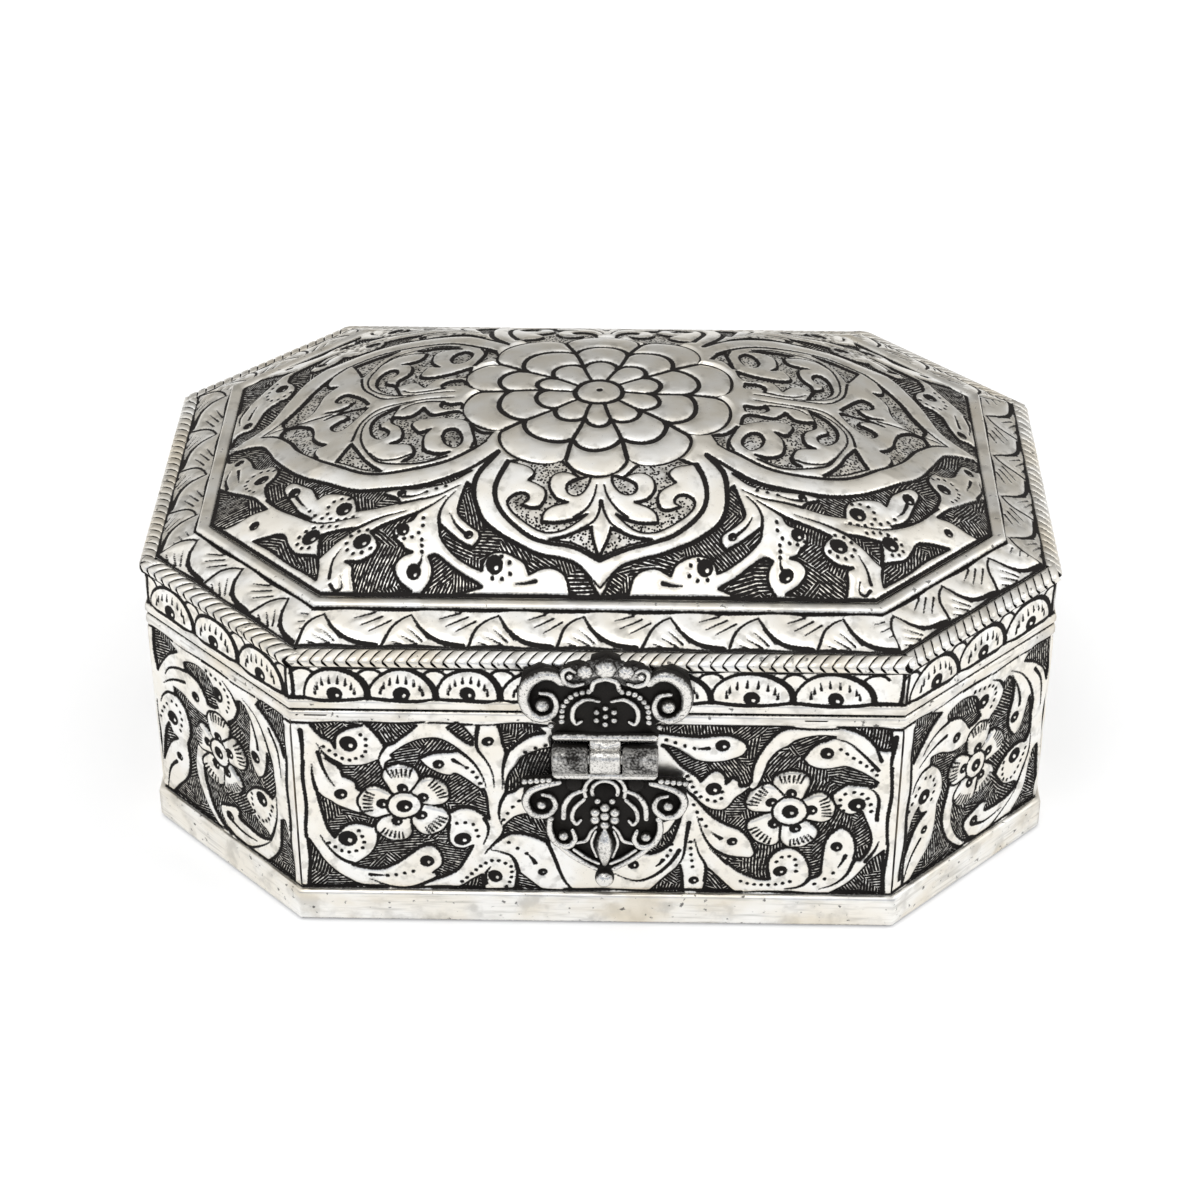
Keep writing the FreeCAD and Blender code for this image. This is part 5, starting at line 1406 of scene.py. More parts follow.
SPRAY_SUNK = (
    (((-63.8, -0.9), (-63.6, -3.6), (-62.6, -4.7), (-60.6, -4.6), (-59.2, -7.2), (-58.4, -9.6),
     (-56.5, -11.1), (-55, -11.4), (-53.8, -13.8), (-54.2, -15.7), (-55.3, -17.4), (-55, -20.2),
     (-53, -23), (-50.6, -25.3)), ((-47, -27.5), (-49.2, -25.7), (-50.6, -23), (-52, -20),
     (-51.6, -18.7), (-50.3, -18.5), (-48.6, -19.8), (-47, -21.3)), ((-46, -23.7), (-45, -23),
     (-43.2, -23.1), (-41.3, -23.8), (-40, -24.8), (-39.4, -26.4)), ((-39.2, -28.2), (-36, -28.3)),
     ((-32.2, -27.8), (-33, -26.7), (-34.6, -25.9), (-35, -25.2), (-33, -24.9), (-29, -25.2),
     (-24.4, -24.6)), ((-21, -22.4), *SIDE_OUTER[-3:0:-1])),
    (((-64, -12.2), (-61.9, -14.7), (-60, -16.8), (-57.4, -19.8)), ((-54.9, -22.8), (-57.2, -23.1),
     (-59.6, -24.2)), ((-61.4, -24.6), (-64, -22))),
    (((-56.2, -28.6), (-52.4, -29), (-51, -29.8), (-50.2, -31.6), (-48.9, -33.5), (-46.9, -34.5),
     (-45.3, -35.4), (-44.9, -37.4)), ((-45.2, -40), (-50, -35))),
    (((-44.9, -31.2), (-42, -31.4)), ((-39, -31.8), (-42, -33.6), (-43.4, -34.9)), ((-44.8, -36),
     (-45, -33.8))),
    (((-36.9, -32.9), (-34.6, -31.9), (-32, -31.2)), ((-29.2, -30.3), (-30, -31.6), (-31.8, -32.1),
     (-33, -33), (-32.9, -34.6), (-31.8, -35.6), (-31.2, -36.5)), ((-30, -36.9), (-31.4, -37.4),
     (-32.5, -38.6), (-32.4, -39.9), (-31.4, -41.2)), ((-29.6, -42.2), (-34, -42.7)), ((-38.8, -42.7),
     (-39.2, -40), (-39.2, -38.7)), ((-40.3, -37.8), (-38.2, -38), (-36.3, -37.1), (-35.5, -35.9),
     (-35.9, -34.4))),
    (((-27.3, -37.4), (-25.9, -37.1), (-23.8, -38.6), (-21.5, -40.2)), ((-18.6, -41.6), (-23, -42.7)),
     ((-28, -42.5), (-26.8, -40.6), (-26.7, -38.8))),
    (((-21.4, -24.8), (-22.6, -28.2), (-22.9, -30.4), (-21.2, -32.1), (-19.4, -33.5), (-19.2, -34.8)),
     ((-20.1, -36.1), (-22.2, -34.9), (-24.4, -33.3)), ((-25.6, -32.4), (-25.1, -34.6), (-22.8, -37.2),
     (-20.2, -38.9)), ((-18.5, -39.5), (-18.2, -38.1), (-17.2, -37.1), (-15.6, -36.7), (-13.7, -37.1),
     (-11.8, -38.1)), ((-11, -39.7), (-8.9, -38.9), (-6.8, -39.2), (-5.3, -40.3)), ((-4.5, -42.4),),
     ((0, -42.6), *FRONT_OUTER[1:-2])),
)
SPRAY_EYES = (
    (-61.4, -6.3, 0.9), (-56.3, -15.2, 1.2), (-50.1, -21, 1.05), (-41.4, -27.1, 1.4), (-56.4, -25.7, 0.8),
    (-46.5, -31.2, 1.4), (-38, -34.6, 1.4), (-32.2, -25.9, 0.75), (-31.5, -33.2, 1.1),
    (-29.5, -39.6, 1.1), (-20.9, -34, 0.7), (-16.5, -38.6, 1.35),
)
SPRAY_CUTS = (
    ((-47.8, -25.3), (-48.8, -24), (-49.7, -22.2)),
    ((-60.6, -12.4), (-61, -10.6), (-61.4, -8.6)),
    ((-28.6, -26.4), (-30.4, -26.8), (-32, -26.6)),
    ((-41.2, -35.2), (-42.5, -37.5), (-43, -40.2)),
    ((-24.2, -30.6), (-23.1, -32.3), (-21.4, -33.8)),
    ((-13, -41), (-11.6, -41), (-9.9, -40.8)),
    ((-28.4, -37.2), (-28.6, -38.2), (-29.2, -39.4)),
    ((-39, -29.7), (-44.6, -29), (-48, -27.4), (-52, -24.2), (-55, -21)),
    ((-31, -29.8), (-35, -30.4), (-39, -31.8)),
    ((-25, -27.4), (-27.4, -29.2), (-29.2, -30.3)),
    ((-23.4, -26.6), (-25, -28.4), (-25.8, -30.6), (-25.6, -32.6)),
    ((-22.6, -25.4), (-27, -27.4), (-32.2, -28)),
    ((-63, -7.6), (-63.2, -10.4), (-62.4, -13.4)),
    ((-41.2, -40), (-41, -41.6), (-42, -42.2), (-42.8, -41.4)),
)
SPRAY_DOTS = (
    ((-39.9, -29.3), (-42, -29.2), (-43.8, -28.3), (-44.3, -26.8), (-43.8, -25.3), (-42.2, -24.6),
     (-40.6, -25)),
    ((-54.7, -13.2), (-56.6, -12.1), (-58.4, -12.6), (-59.1, -14.2), (-58.6, -16.2), (-57.4, -17.9)),
    ((-47.4, -25.9), (-46.4, -27), (-45.2, -27.8)),
    ((-28.2, -26.2), (-26.6, -25.8), (-25, -25.4)),
    ((-42.6, -30.4), (-44.5, -29.7), (-46.3, -29.4), (-48, -30), (-48.7, -31.3), (-48.2, -32.6),
     (-46.6, -33.2)),
    ((-37.4, -32.5), (-39, -32.6), (-40.3, -33.6), (-40.4, -35.3), (-39.3, -36.5), (-38, -36.7),
     (-36.6, -36)),
    ((-32.6, -34.3), (-31, -34.8), (-29.2, -34.2), (-28.2, -32.8), (-28.2, -31.4)),
    ((-28.4, -35), (-28.4, -36.8)),
    ((-15.5, -37.4), (-14.3, -38), (-13.8, -39.2), (-14.3, -40.1), (-15.4, -40.4), (-16.8, -40.4)),
)
SIDE_CUTS = (
    ((-25, -0.9), (-32, -1), (-37.2, -1.5), (-39.8, -4.1), (-41.1, -6.7), (-41.6, -10.4)),
    ((-32, -1.4), (-35, -1.9), (-38.2, -3.6), (-40, -6.3), (-40.3, -9.6), (-39.5, -12.8),
     (-38.2, -15.3), (-36.3, -17.6), (-32.4, -19.1), (-29, -19.4), (-25.4, -18.2)),
    ((-38.2, -15), (-36.2, -17), (-33.4, -17.5), (-31.4, -16.9)),
    ((-34, -3.4), (-32.4, -2.2), (-29.6, -1.8), (-26.8, -2.1)),
    ((-22.3, -9.4), (-21.2, -12), (-20.8, -14.4), (-21.4, -16.4)),
    ((-57, 0), (-50, 0), (-46, 0)),
)
FRONT_CUTS = (
    ((-0.4, -25), (-0.9, -27.2), (-2.2, -29.5), (-4.1, -31)),
    ((-3.4, -33.3), (-1.2, -32), (-0.2, -30.1), (0.1, -28.2)),
)


# Mirroring and shift of each quarter of the dome
QUARTERS = ((1, 1, 0), (1, -1, 0), (-1, 1, 0.4), (-1, -1, 0.4))


def draw_dome(chasing, edge_distance):
    """Four petals with scrolls, and sprays of leaves between them."""
    for hand, end, shift in QUARTERS:
        chasing.put((hand, end), (shift, 0))
        chasing.stippled(np.vstack([smooth(SIDE_OUTER), [(-16, 1), (-64, 1)]]))
        chasing.stippled(np.vstack([smooth(FRONT_OUTER), [(1, -18)]]))
        for runs in (*SPRAY_SUNK, *FRONT_SUNK):
            chasing.sink(runs)
        for runs in SIDE_SUNK:
            chasing.sink(runs, 0.56)
        chasing.stroke(smooth(SIDE_OUTER), 0.1, 0.36)
        chasing.stroke(smooth(SIDE_INNER), 0.2, 0.4)
        chasing.stroke(smooth(FRONT_OUTER), 0.14, 0.5)
        chasing.stroke(smooth(FRONT_INNER), 0.3, 0.46)
        for cut in SPRAY_CUTS:
            chasing.stroke(smooth(cut), 0.08, 0.3)
        for cut in (*SIDE_CUTS, *FRONT_CUTS):
            chasing.stroke(smooth(cut), 0.14, 0.26)
        for run in SPRAY_DOTS:
            chasing.dot_row(run, 1.15, 0.32)
    chasing.raise_metal()
    for hand, end, shift in QUARTERS:
        chasing.put((hand, end), (shift, 0))
        for x, y, radius in SPRAY_EYES:
            chasing.eye((x, y), radius)
    chasing.put()
    chasing.ink = np.minimum(chasing.ink, edge_distance - 0.45)
    chasing.cut_marks()


def dome_field(settings):
    """Domed sheet between the rosette and the bar, in two rings."""
    columns = side_columns(settings.dome_grid / MM, (1, 1, 1.5, 2, 2, 2, 1.5, 1))
    outer = outline_points(columns, BAR_INNER)
    middle = np.array(ROSETTE_MIDDLE)
    angle = np.degrees(np.arctan2(outer[:, 1] - middle[1], outer[:, 0] - middle[0]))
    radius = lobed(angle, *ROSETTE_TIERS[-1])
    turn = np.radians(angle)
    inner = middle + radius[:, None] * np.stack([np.cos(turn), np.sin(turn)], axis=1)
    for part, start in (("inner", 0), ("outer", 0.5)):
        share = np.linspace(start, start + 0.5, settings.dome_rows)[:, None, None]
        dome_ring("chased_dome_" + part, inner + (outer - inner) * share, inner, settings)


def dome_ring(name, places, inner, settings):
    """Part of the domed sheet, from rows of plan places."""
    x, y = places[..., 0], places[..., 1]
    slant = (DOME_SLANT - np.abs(x) - np.abs(y)) / math.sqrt(2)
    edge_distance = np.minimum(np.minimum(DOME_HALF_LENGTH - np.abs(x), DOME_HALF_DEPTH - np.abs(y)), slant)
    chasing = Chasing(x, y, 3)
    draw_dome(chasing, edge_distance.ravel())
    calm = np.clip(np.minimum(edge_distance / 0.6, np.linalg.norm(places - inner, axis=-1) / 0.6), 0, 1)
    front = dome_points(x, y, chasing.relief.reshape(x.shape) * calm)
    mesh = Mesh()
    mesh.folded(front, front[[-1, 0]] - np.array([0, 0, SHEET]), chasing.fields())
    chased_piece(mesh, name, "lid", "lid_top_sheet", settings)


def rosette(settings):
    """Rosette of three rings of lobes round a button."""
    spacing = settings.grid / MM
    reach = ROSETTE_TIERS[-1][1]
    angle = np.linspace(-180, 180, round(2 * math.pi * reach / spacing / BAND_SPACING), endpoint=False)
    rim = lobed(angle, *ROSETTE_TIERS[-1])
    share = np.linspace(0.006, 1, round(reach / spacing))[:, None]
    turn = np.radians(angle)
    x = ROSETTE_MIDDLE[0] + share * rim * np.cos(turn)
    y = ROSETTE_MIDDLE[1] + share * rim * np.sin(turn)
    chasing = Chasing(x, y, 5)
    chasing.put(shift=ROSETTE_MIDDLE)
    for line in ROSETTE_LINES[1:]:
        across, up = math.cos(math.radians(line)), math.sin(math.radians(line))
        ends = [(radius * across, radius * up) for radius in (ROSETTE_BUTTON, ROSETTE_REACH)]
        chasing.stroke(ends, 0.3, ROSETTE_LINE)
    sweep = np.linspace(ROSETTE_LINES[0], ROSETTE_LINES[-1], 181)
    for cusp, tip in ROSETTE_TIERS:
        radius = lobed(sweep + 1e-4, cusp, tip)
        ring = np.stack([radius * np.cos(np.radians(sweep)), radius * np.sin(np.radians(sweep))], axis=1)
        for run in range(0, 180, 20):
            chasing.stroke(ring[run:run + 21], ROSETTE_LINE)
    chasing.stroke(arc((0, 0), ROSETTE_BUTTON, 0, 360, 25), ROSETTE_LINE)
    chasing.relief += 0.36 * chasing.swell(0.6)
    # Ground from the distance to the lines, so that tarnish and painted shade gather beside them on the
    # lobes
    chasing.ground = -0.1 - 0.4 * np.clip(chasing.ink, 0, FAR)
    chasing.dot((0, 0), 0.55)
    chasing.cut_marks()
    lift = np.clip((1 - share) / 0.03, 0, 1)
    front = dome_points(x, y, chasing.relief.reshape(x.shape) * lift)
    low = np.stack([front[-1], (front[-1] + front[0]) / 2, front[0]]) - np.array([0, 0, SHEET])
    mesh = Mesh()
    mesh.cap(np.concatenate([front, low]), backed(chasing.fields(), len(low)))
    chased_piece(mesh, "chased_rosette", "lid", "lid_top_sheet", settings)


# Copies set on a path or on points

class CopyTree:
    """One Geometry Nodes tree that sets copies of a shape and ends as real mesh with a finish."""

    def __init__(self, name, inputs):
        self.tree = bpy.data.node_groups.new(name, "GeometryNodeTree")
        face = self.tree.interface
        face.new_socket("Geometry", in_out="INPUT", socket_type="NodeSocketGeometry")
        self.identifiers = {}
        for label, kind in inputs.items():
            self.identifiers[label] = face.new_socket(label, in_out="INPUT", socket_type=kind).identifier
        face.new_socket("Geometry", in_out="OUTPUT", socket_type="NodeSocketGeometry")
        self.start = self.tree.nodes.new("NodeGroupInput")
        self.end = self.tree.nodes.new("NodeGroupOutput")

    def node(self, kind, settings=None, inputs=None, output=0):
        return new_node(self.tree, kind, settings, inputs).outputs[output]

    def given(self, label):
        """One of the tree's own inputs."""
        return self.start.outputs[label]

    def shape(self):
        """The shape to copy."""
        return self.node("GeometryNodeObjectInfo", {}, {"Object": self.given("Shape")}, "Geometry")

    def close(self, copies):
        """Turn the copies into real mesh with the finish."""
        real = self.node("GeometryNodeRealizeInstances", {}, {0: copies})
        done = self.node("GeometryNodeSetMaterial", {},
                         {"Geometry": real, "Material": self.given("Finish")})
        self.tree.links.new(done, self.end.inputs[0])

    def grow(self, name, carrier_mesh, shape_mesh, values):
        """Run the tree on a carrier mesh and return the result as a plain object."""
        scene = bpy.context.scene
        shape = bpy.data.objects.new(name + "_shape", shape_mesh)
        carrier = bpy.data.objects.new(name + "_carrier", carrier_mesh)
        scene.collection.objects.link(shape)
        scene.collection.objects.link(carrier)
        modifier = carrier.modifiers.new("copies", "NODES")
        modifier.node_group = self.tree
        for label, value in {"Shape": shape, **values}.items():
            modifier[self.identifiers[label]] = value
        bpy.context.view_layer.update()
        evaluated = carrier.evaluated_get(bpy.context.evaluated_depsgraph_get())
        mesh = bpy.data.meshes.new_from_object(evaluated)
        mesh.name = name
        carrier.modifiers.clear()
        bpy.data.objects.remove(carrier)
        bpy.data.objects.remove(shape)
        return bpy.data.objects.new(name, mesh)


def path_tree():
    """Copies along each edge of the carrier, turned about the upright to follow it."""
    tree = CopyTree("copies_along_edges", {
        "Shape": "NodeSocketObject", "Pitch": "NodeSocketFloat", "Finish": "NodeSocketMaterial"})
    curve = tree.node("GeometryNodeMeshToCurve", {}, {0: tree.given("Geometry")})
    even = tree.node("GeometryNodeResampleCurve", {"mode": "LENGTH"},
                     {"Curve": curve, "Length": tree.given("Pitch")})
    heading = tree.node("GeometryNodeInputTangent")
    turn = tree.node("FunctionNodeAlignRotationToVector", {"axis": "X", "pivot_axis": "Z"},
                     {"Vector": heading})
    copies = tree.node("GeometryNodeInstanceOnPoints", {},
                       {"Points": even, "Instance": tree.shape(), "Rotation": turn})
    tree.close(copies)
    return tree


def point_tree():
    """A copy at each point of the carrier."""
    tree = CopyTree("copies_at_points", {
        "Shape": "NodeSocketObject", "Size": "NodeSocketFloat", "Finish": "NodeSocketMaterial"})
    size = tree.node("ShaderNodeCombineXYZ", {},
                     {0: tree.given("Size"), 1: tree.given("Size"), 2: tree.given("Size")})
    copies = tree.node("GeometryNodeInstanceOnPoints", {},
                       {"Points": tree.given("Geometry"), "Instance": tree.shape(), "Scale": size})
    tree.close(copies)
    return tree


def carrier_points(name, places):
    """Loose points that carry copies."""
    data = bpy.data.meshes.new(name)
    data.from_pydata((np.asarray(places, float) * MM).tolist(), [], [])
    return data


def tube_rows(path, radii, sides, reference):
    """Loops round a path with rounded ends; the reference direction is never along the path."""
    path = np.asarray(path, float)
    radii = np.asarray(radii, float)
    first = path[0] - path[1]
    last = path[-1] - path[-2]
    first = first / np.linalg.norm(first)
    last = last / np.linalg.norm(last)
    before = [path[0] + first * radii[0] * 0.95, path[0] + first * radii[0] * 0.65]
    after = [path[-1] + last * radii[-1] * 0.65, path[-1] + last * radii[-1] * 0.95]
    path = np.vstack([before, path, after])
    radii = np.concatenate([radii[0] * np.array([0.3, 0.76]), radii, radii[-1] * np.array([0.76, 0.3])])
    heading = np.gradient(path, axis=0)
    heading /= np.linalg.norm(heading, axis=1, keepdims=True)
    side = np.cross(heading, np.asarray(reference, float))
    side /= np.linalg.norm(side, axis=1, keepdims=True)
    top = np.cross(side, heading)
    turn = np.linspace(0, 2 * math.pi, sides, endpoint=False)[None, :, None]
    round_part = np.cos(turn) * side[:, None] + np.sin(turn) * top[:, None]
    return path[:, None] + radii[:, None, None] * round_part


# Rope rim

# Stations along one strand: place along the rim and outwards, share of its height, and slit beside it
STRAND_STATIONS = (
    (0.75, -0.95, 0.04, 0.02), (0.45, -1.28, 0.2, 0.4), (0, -1.33, 0.45, 0.62), (-0.3, -1.12, 0.62, 0.2),
    (0.1, -0.6, 0.77, 0.2), (0.6, 0.1, 0.88, 0.34), (1.1, 0.75, 0.94, 0.26), (1.5, 1.2, 0.93, 0.03),
)


def rope_rim(settings):
    """Rope edge of the lid: slanting strands, folded over the edge of a strip blackened all over as painted
    shade between the strands, with oxide.
    """
    low, high = RIM_LOW[2], RIM_HIGH[2]
    section = [(2.75, low), (0.75, low), (0.6, low + 0.5), (0.75, high - 0.75), (1.3, high - 0.45)]
    section.append((2.75, high - 0.55))
    # The whole strip is blackened: painted shade in the gaps between strands, with oxide
    moulding("rope_strip", section, section, settings, "lid", ["lid_rope_rim"], 4.0)
    pitch = settings.rope_pitch / MM
    rows = []
    for along, out, share, slit in STRAND_STATIONS:
        half = pitch * 0.515 - slit / 2
        lean = np.array([0, -0.5, 0.86]) * (0.16 if slit > 0.1 else 0.08)
        places = (-half, -half + 0.2, half - 0.2, half)
        face = np.array([(along + x, out, share * (high - low)) for x in places])
        face[1:3] += lean
        under = face[[3, 0]] + (0, 0.5, -0.4)
        rows.append(np.vstack([face, under]))
    rows = np.array(rows)
    strand = Mesh()
    # Strand edges half blackened and undersides fully: painted shade in the slits, with oxide
    strand.cap(rows, {"ink": np.tile([0.02, 0.6, 0.6, 0.02, -0.3, -0.3], (len(rows), 1))})
    vertices = []
    for a, b in zip(*side_ends(1.4)):
        inward = (b - a) / np.linalg.norm(b - a) * 0.8
        vertices += [(*(a + inward), low), (*(b - inward), low)]
    edges = [(at, at + 1) for at in range(0, len(vertices), 2)]
    carrier = bpy.data.meshes.new("rope_path")
    carrier.from_pydata((np.array(vertices) * MM).tolist(), edges, [])
    rope = path_tree().grow("rope_strands", carrier, strand.data("rope_strand"), {
        "Pitch": settings.rope_pitch, "Finish": finish_named("plain_metal", settings)})
    settle(rope, "lid", ["lid_rope_rim"])


# Hasp

CAST_BACK = HASP_BACK_Y - 0.65
CAST_FACE = CAST_BACK - 0.5
ROD_LEVEL = CAST_FACE - 0.35
LEAF_OUTLINE = (
    (0, 39), (8.3, 39), (8.6, 40.4), (7.7, 42), (9, 42.8), (11.4, 43.2), (13.2, 45.4), (13.7, 48.4),
    (12.9, 51.8), (10.4, 53.2), (8, 52.4), (7, 51.6), (6, 53.2), (4.2, 53.8), (2.6, 53.2), (2.2, 54.8),
    (0, 55.7),
)
CREST_OUTLINE = (
    (0, 51.4), (1.8, 51), (2.7, 49.8), (3.7, 49.4), (4.6, 50.4), (6.4, 49.6), (7.6, 50.6), (7.7, 52),
    (6.6, 53.4), (5, 53.7), (3.9, 53.2), (2.8, 54.4), (1.2, 54.7), (0, 55.4),
)
FLAP_OUTLINE = (
    (0, 33), (8.3, 33), (8.6, 31.6), (13, 31.2), (13.2, 27.6), (12.9, 24.6), (11.2, 23), (9.4, 22.2),
    (8.6, 19.4), (7.6, 17.2), (4.6, 14.4), (1.8, 12.4), (0, 12),
)
LEAF_RODS = (
    ((6.9, 50.4, 0.7), (8.3, 51.8, 1), (10.3, 51.8, 1.1), (12.2, 50.1, 1.1), (12.9, 47.4, 1),
     (12.2, 44.8, 0.85), (10.3, 43.4, 0.8), (8.4, 44.1, 0.65), (7.7, 46, 0.55), (8.5, 47.9, 0.5),
     (10.2, 48.3, 0.4)),
    ((1, 46.8, 0.3), (3, 47.2, 0.42), (4.8, 45.8, 0.48), (5.2, 43.8, 0.45), (4.7, 42.4, 0.4),
     (3.8, 42.8, 0.3)),
    ((3.6, 50.2, 0.4), (5.1, 49.9, 0.5), (6.5, 50.7, 0.55), (6.7, 52.2, 0.5), (5.7, 53, 0.45),
     (4.8, 52.4, 0.35)),
    ((2.2, 49, 0.45), (1.7, 50.6, 0.5), (0, 51.3, 0.5)),
)
FLAP_RODS = (
    ((7.4, 30.6, 0.5), (9.8, 30, 0.65), (12, 28.8, 0.7), (12.8, 26.6, 0.7), (11.6, 24.2, 0.65),
     (9.3, 24, 0.6), (8, 25.8, 0.55), (8.6, 27.7, 0.5), (10, 28.1, 0.4)),
    ((3.1, 29.2, 0.4), (5.2, 28.2, 0.5), (6.5, 26, 0.55), (6.7, 23.4, 0.5)),
    ((3.4, 27.2, 0.4), (4.9, 25.4, 0.45), (5.3, 23.4, 0.42), (4.6, 22.2, 0.4), (3.9, 22.9, 0.3)),
    ((8.9, 23.2, 0.5), (8.9, 20.6, 0.6), (7.8, 18.2, 0.62), (5.9, 17.6, 0.6), (4.8, 19, 0.5),
     (5.2, 20.8, 0.4)),
    ((8, 18.2, 0.4), (5, 15.4, 0.55), (1.5, 12.9, 0.45)),
    ((5, 16.8, 0.35), (3, 15.2, 0.4), (1, 14, 0.35)),
    ((4.6, 18.2, 0.3), (3, 18.8, 0.38), (2.2, 20.6, 0.35), (1.4, 21.6, 0.3)),
    ((1.5, 20.6, 0.3), (2.1, 18.2, 0.34), (1.3, 15.4, 0.3)),
)


KNUCKLE_RADIUS = 2.2
FLAP_KNUCKLE = 5.6
BUD = ((0, 21, 0.5), (0, 19.6, 1.4), (0, 17.8, 1.75), (0, 15.8, 1.3), (0, 14, 0.5))


def proud_of(points):
    """How far cast metal stands out, for its wear and painted light: 0 in its hollows and 1 on its highest
    places.
    """
    return np.clip((CAST_FACE - points[..., 1]) / 1.35, 0, 1)


class Casting(Mesh):
    """A cast plate with rods, bosses and barrels on it, about the hasp's upright middle line."""

    def put_rows(self, rows, wear_and_painted_light=1.0):
        """A closed form from loops, with its wear and painted light."""
        self.cap(rows, {"proud": wear_and_painted_light * proud_of(rows)})

    def plate_of(self, outline, back, front, wear_and_painted_light=1.0):
        """A flat plate from half an outline, the same on both hands."""
        half = np.array(outline, float)
        both = np.vstack([half, (half * (-1, 1))[::-1]])
        edge = np.column_stack([both[:, 0] + HASP_X, both[:, 1]])
        loops = []
        for share, level in ((0.5, front), (1, front + 0.12), (1, back), (0.5, back)):
            shrunk = edge.mean(axis=0) + (edge - edge.mean(axis=0)) * share
            loops.append(np.column_stack([shrunk[:, 0], np.full(len(edge), level), shrunk[:, 1]]))
        self.put_rows(np.array(loops), wear_and_painted_light)

    def rod(self, chain, level=ROD_LEVEL, sides=12, hands=(1, -1), steps=6):
        """A rounded rod along a chain of (across, up, radius), on one hand or both."""
        for hand in hands:
            run = smooth(chain, steps)
            path = np.column_stack([HASP_X + hand * run[:, 0], np.full(len(run), level), run[:, 1]])
            rows = tube_rows(path, run[:, 2], sides, (0, -1, 0))
            # Painted highlight along the top of the rod, painted shade down its sides
            height = np.linalg.norm(rows - rows.mean(axis=1, keepdims=True), axis=2).max(axis=1)[:, None]
            self.cap(rows, {"proud": np.clip(0.1 + (level - rows[..., 1]) / height, 0, 1)})

    def barrel(self, start, end, wear_and_painted_light):
        """A knuckle along the pin with eased ends."""
        reach = np.array([start, start, start + 0.3, end - 0.3, end, end])
        radii = KNUCKLE_RADIUS * np.array([0.45, 0.86, 1, 1, 0.86, 0.45])
        turn = np.linspace(0, 2 * math.pi, 48, endpoint=False)
        square = (np.abs(np.cos(turn)) ** 3 + np.abs(np.sin(turn)) ** 3) ** (-1 / 3)
        rows = np.empty((len(reach), len(turn), 3))
        rows[..., 0] = HASP_X + reach[:, None]
        rows[..., 1] = PIN_Y + radii[:, None] * square * np.cos(turn)
        rows[..., 2] = PIN_Z + radii[:, None] * square * np.sin(turn)
        self.put_rows(rows, wear_and_painted_light)

    def boss(self, x, z, radius, height, flutes=0, wear_and_painted_light=1.5):
        """A rounded lobe, with flutes fanned over it if a number of them is given."""
        turn = np.linspace(0, 2 * math.pi, 48, endpoint=False)
        lean = np.linspace(0.04, math.pi / 2, 12)
        rows = np.empty((len(lean) + 1, len(turn), 3))
        spread_out = radius * np.sin(lean)[:, None]
        ripple = 1 + 0.1 * np.cos(flutes * turn) * np.sin(lean)[:, None] if flutes else 1
        rows[:-1, :, 0] = HASP_X + x + spread_out * np.cos(turn)
        rows[:-1, :, 2] = z + spread_out * np.sin(turn)
        rows[:-1, :, 1] = CAST_FACE + 0.1 - height * np.cos(lean)[:, None] * ripple
        rows[-1] = rows[-2] + np.array([0, 0.3, 0])
        self.put_rows(rows, wear_and_painted_light)


def bead_shape():
    """A small domed head of one millimetre radius that faces the front."""
    turn = np.linspace(0, 2 * math.pi, 10, endpoint=False)
    lean = np.radians([4, 34, 64, 92, 120])
    rows = np.empty((len(lean), len(turn), 3))
    rows[..., 0] = np.sin(lean)[:, None] * np.cos(turn)
    rows[..., 2] = np.sin(lean)[:, None] * np.sin(turn)
    rows[..., 1] = -np.cos(lean)[:, None]
    mesh = Mesh()
    # Painted highlight on the bead's face, painted shade towards its back
    mesh.cap(rows, {"proud": np.clip(0.35 - 0.75 * rows[..., 1], 0, 1)})
    return mesh.data("bead")


def bead_set(name, places, size, body, nodes, settings):
    """Equal cast beads or nail heads at some places."""
    made = point_tree().grow(name, carrier_points(name + "_places", places), bead_shape(), {
        "Size": size, "Finish": finish_named("cast_metal", settings)})
    settle(made, body, nodes)


def hasp_places(points, level):
    """Both hands of some places on the hasp's face."""
    places = []
    for x, z in points:
        places.append((HASP_X + x, level, z))
        if abs(x) > 0.01:
            places.append((HASP_X - x, level, z))
    return places


def bead_ring(middle, radius, lean):
    """One hand of a ring of beads about a place on the hasp's upright middle line."""
    turn = np.radians([lean, -lean, 90, -90])
    return [(radius * math.cos(t), middle + radius * math.sin(t)) for t in turn]


def hasp_leaf(settings):
    """Upper leaf of the cast hasp, on the lid."""
    leaf = Casting()
    leaf.plate_of(LEAF_OUTLINE, HASP_BACK_Y, CAST_FACE)
    for chain in LEAF_RODS:
        leaf.rod(chain)
    leaf.rod(((-7.7, 39.8, 0.75), (7.7, 39.8, 0.75)), hands=(1,))
    # The crest gets a high value: painted glare over its face, with wear
    leaf.plate_of(CREST_OUTLINE, CAST_FACE + 0.1, CAST_FACE - 0.4, 2.6)
    leaf.boss(0, 53, 2, 1.2, 7)
    for x, z, radius in ((3.2, 52.4, 1.5), (5.6, 51.6, 0.7)):
        leaf.boss(x, z, radius, 1.2, 7)
        leaf.boss(-x, z, radius, 1.2, 7)
    leaf.barrel(-2.5, 2.5, 1.0)
    web = ((0, 36.4), (2.4, 36.4), (2.4, 39.4), (0, 39.4))
    leaf.plate_of(web, HASP_BACK_Y - 0.2, HASP_BACK_Y - 2.6)
    finish = finish_named("cast_metal", settings)
    leaf.piece("cast_hasp_leaf", finish, "lid", "cast_hasp_metal", ["hasp_leaf"])


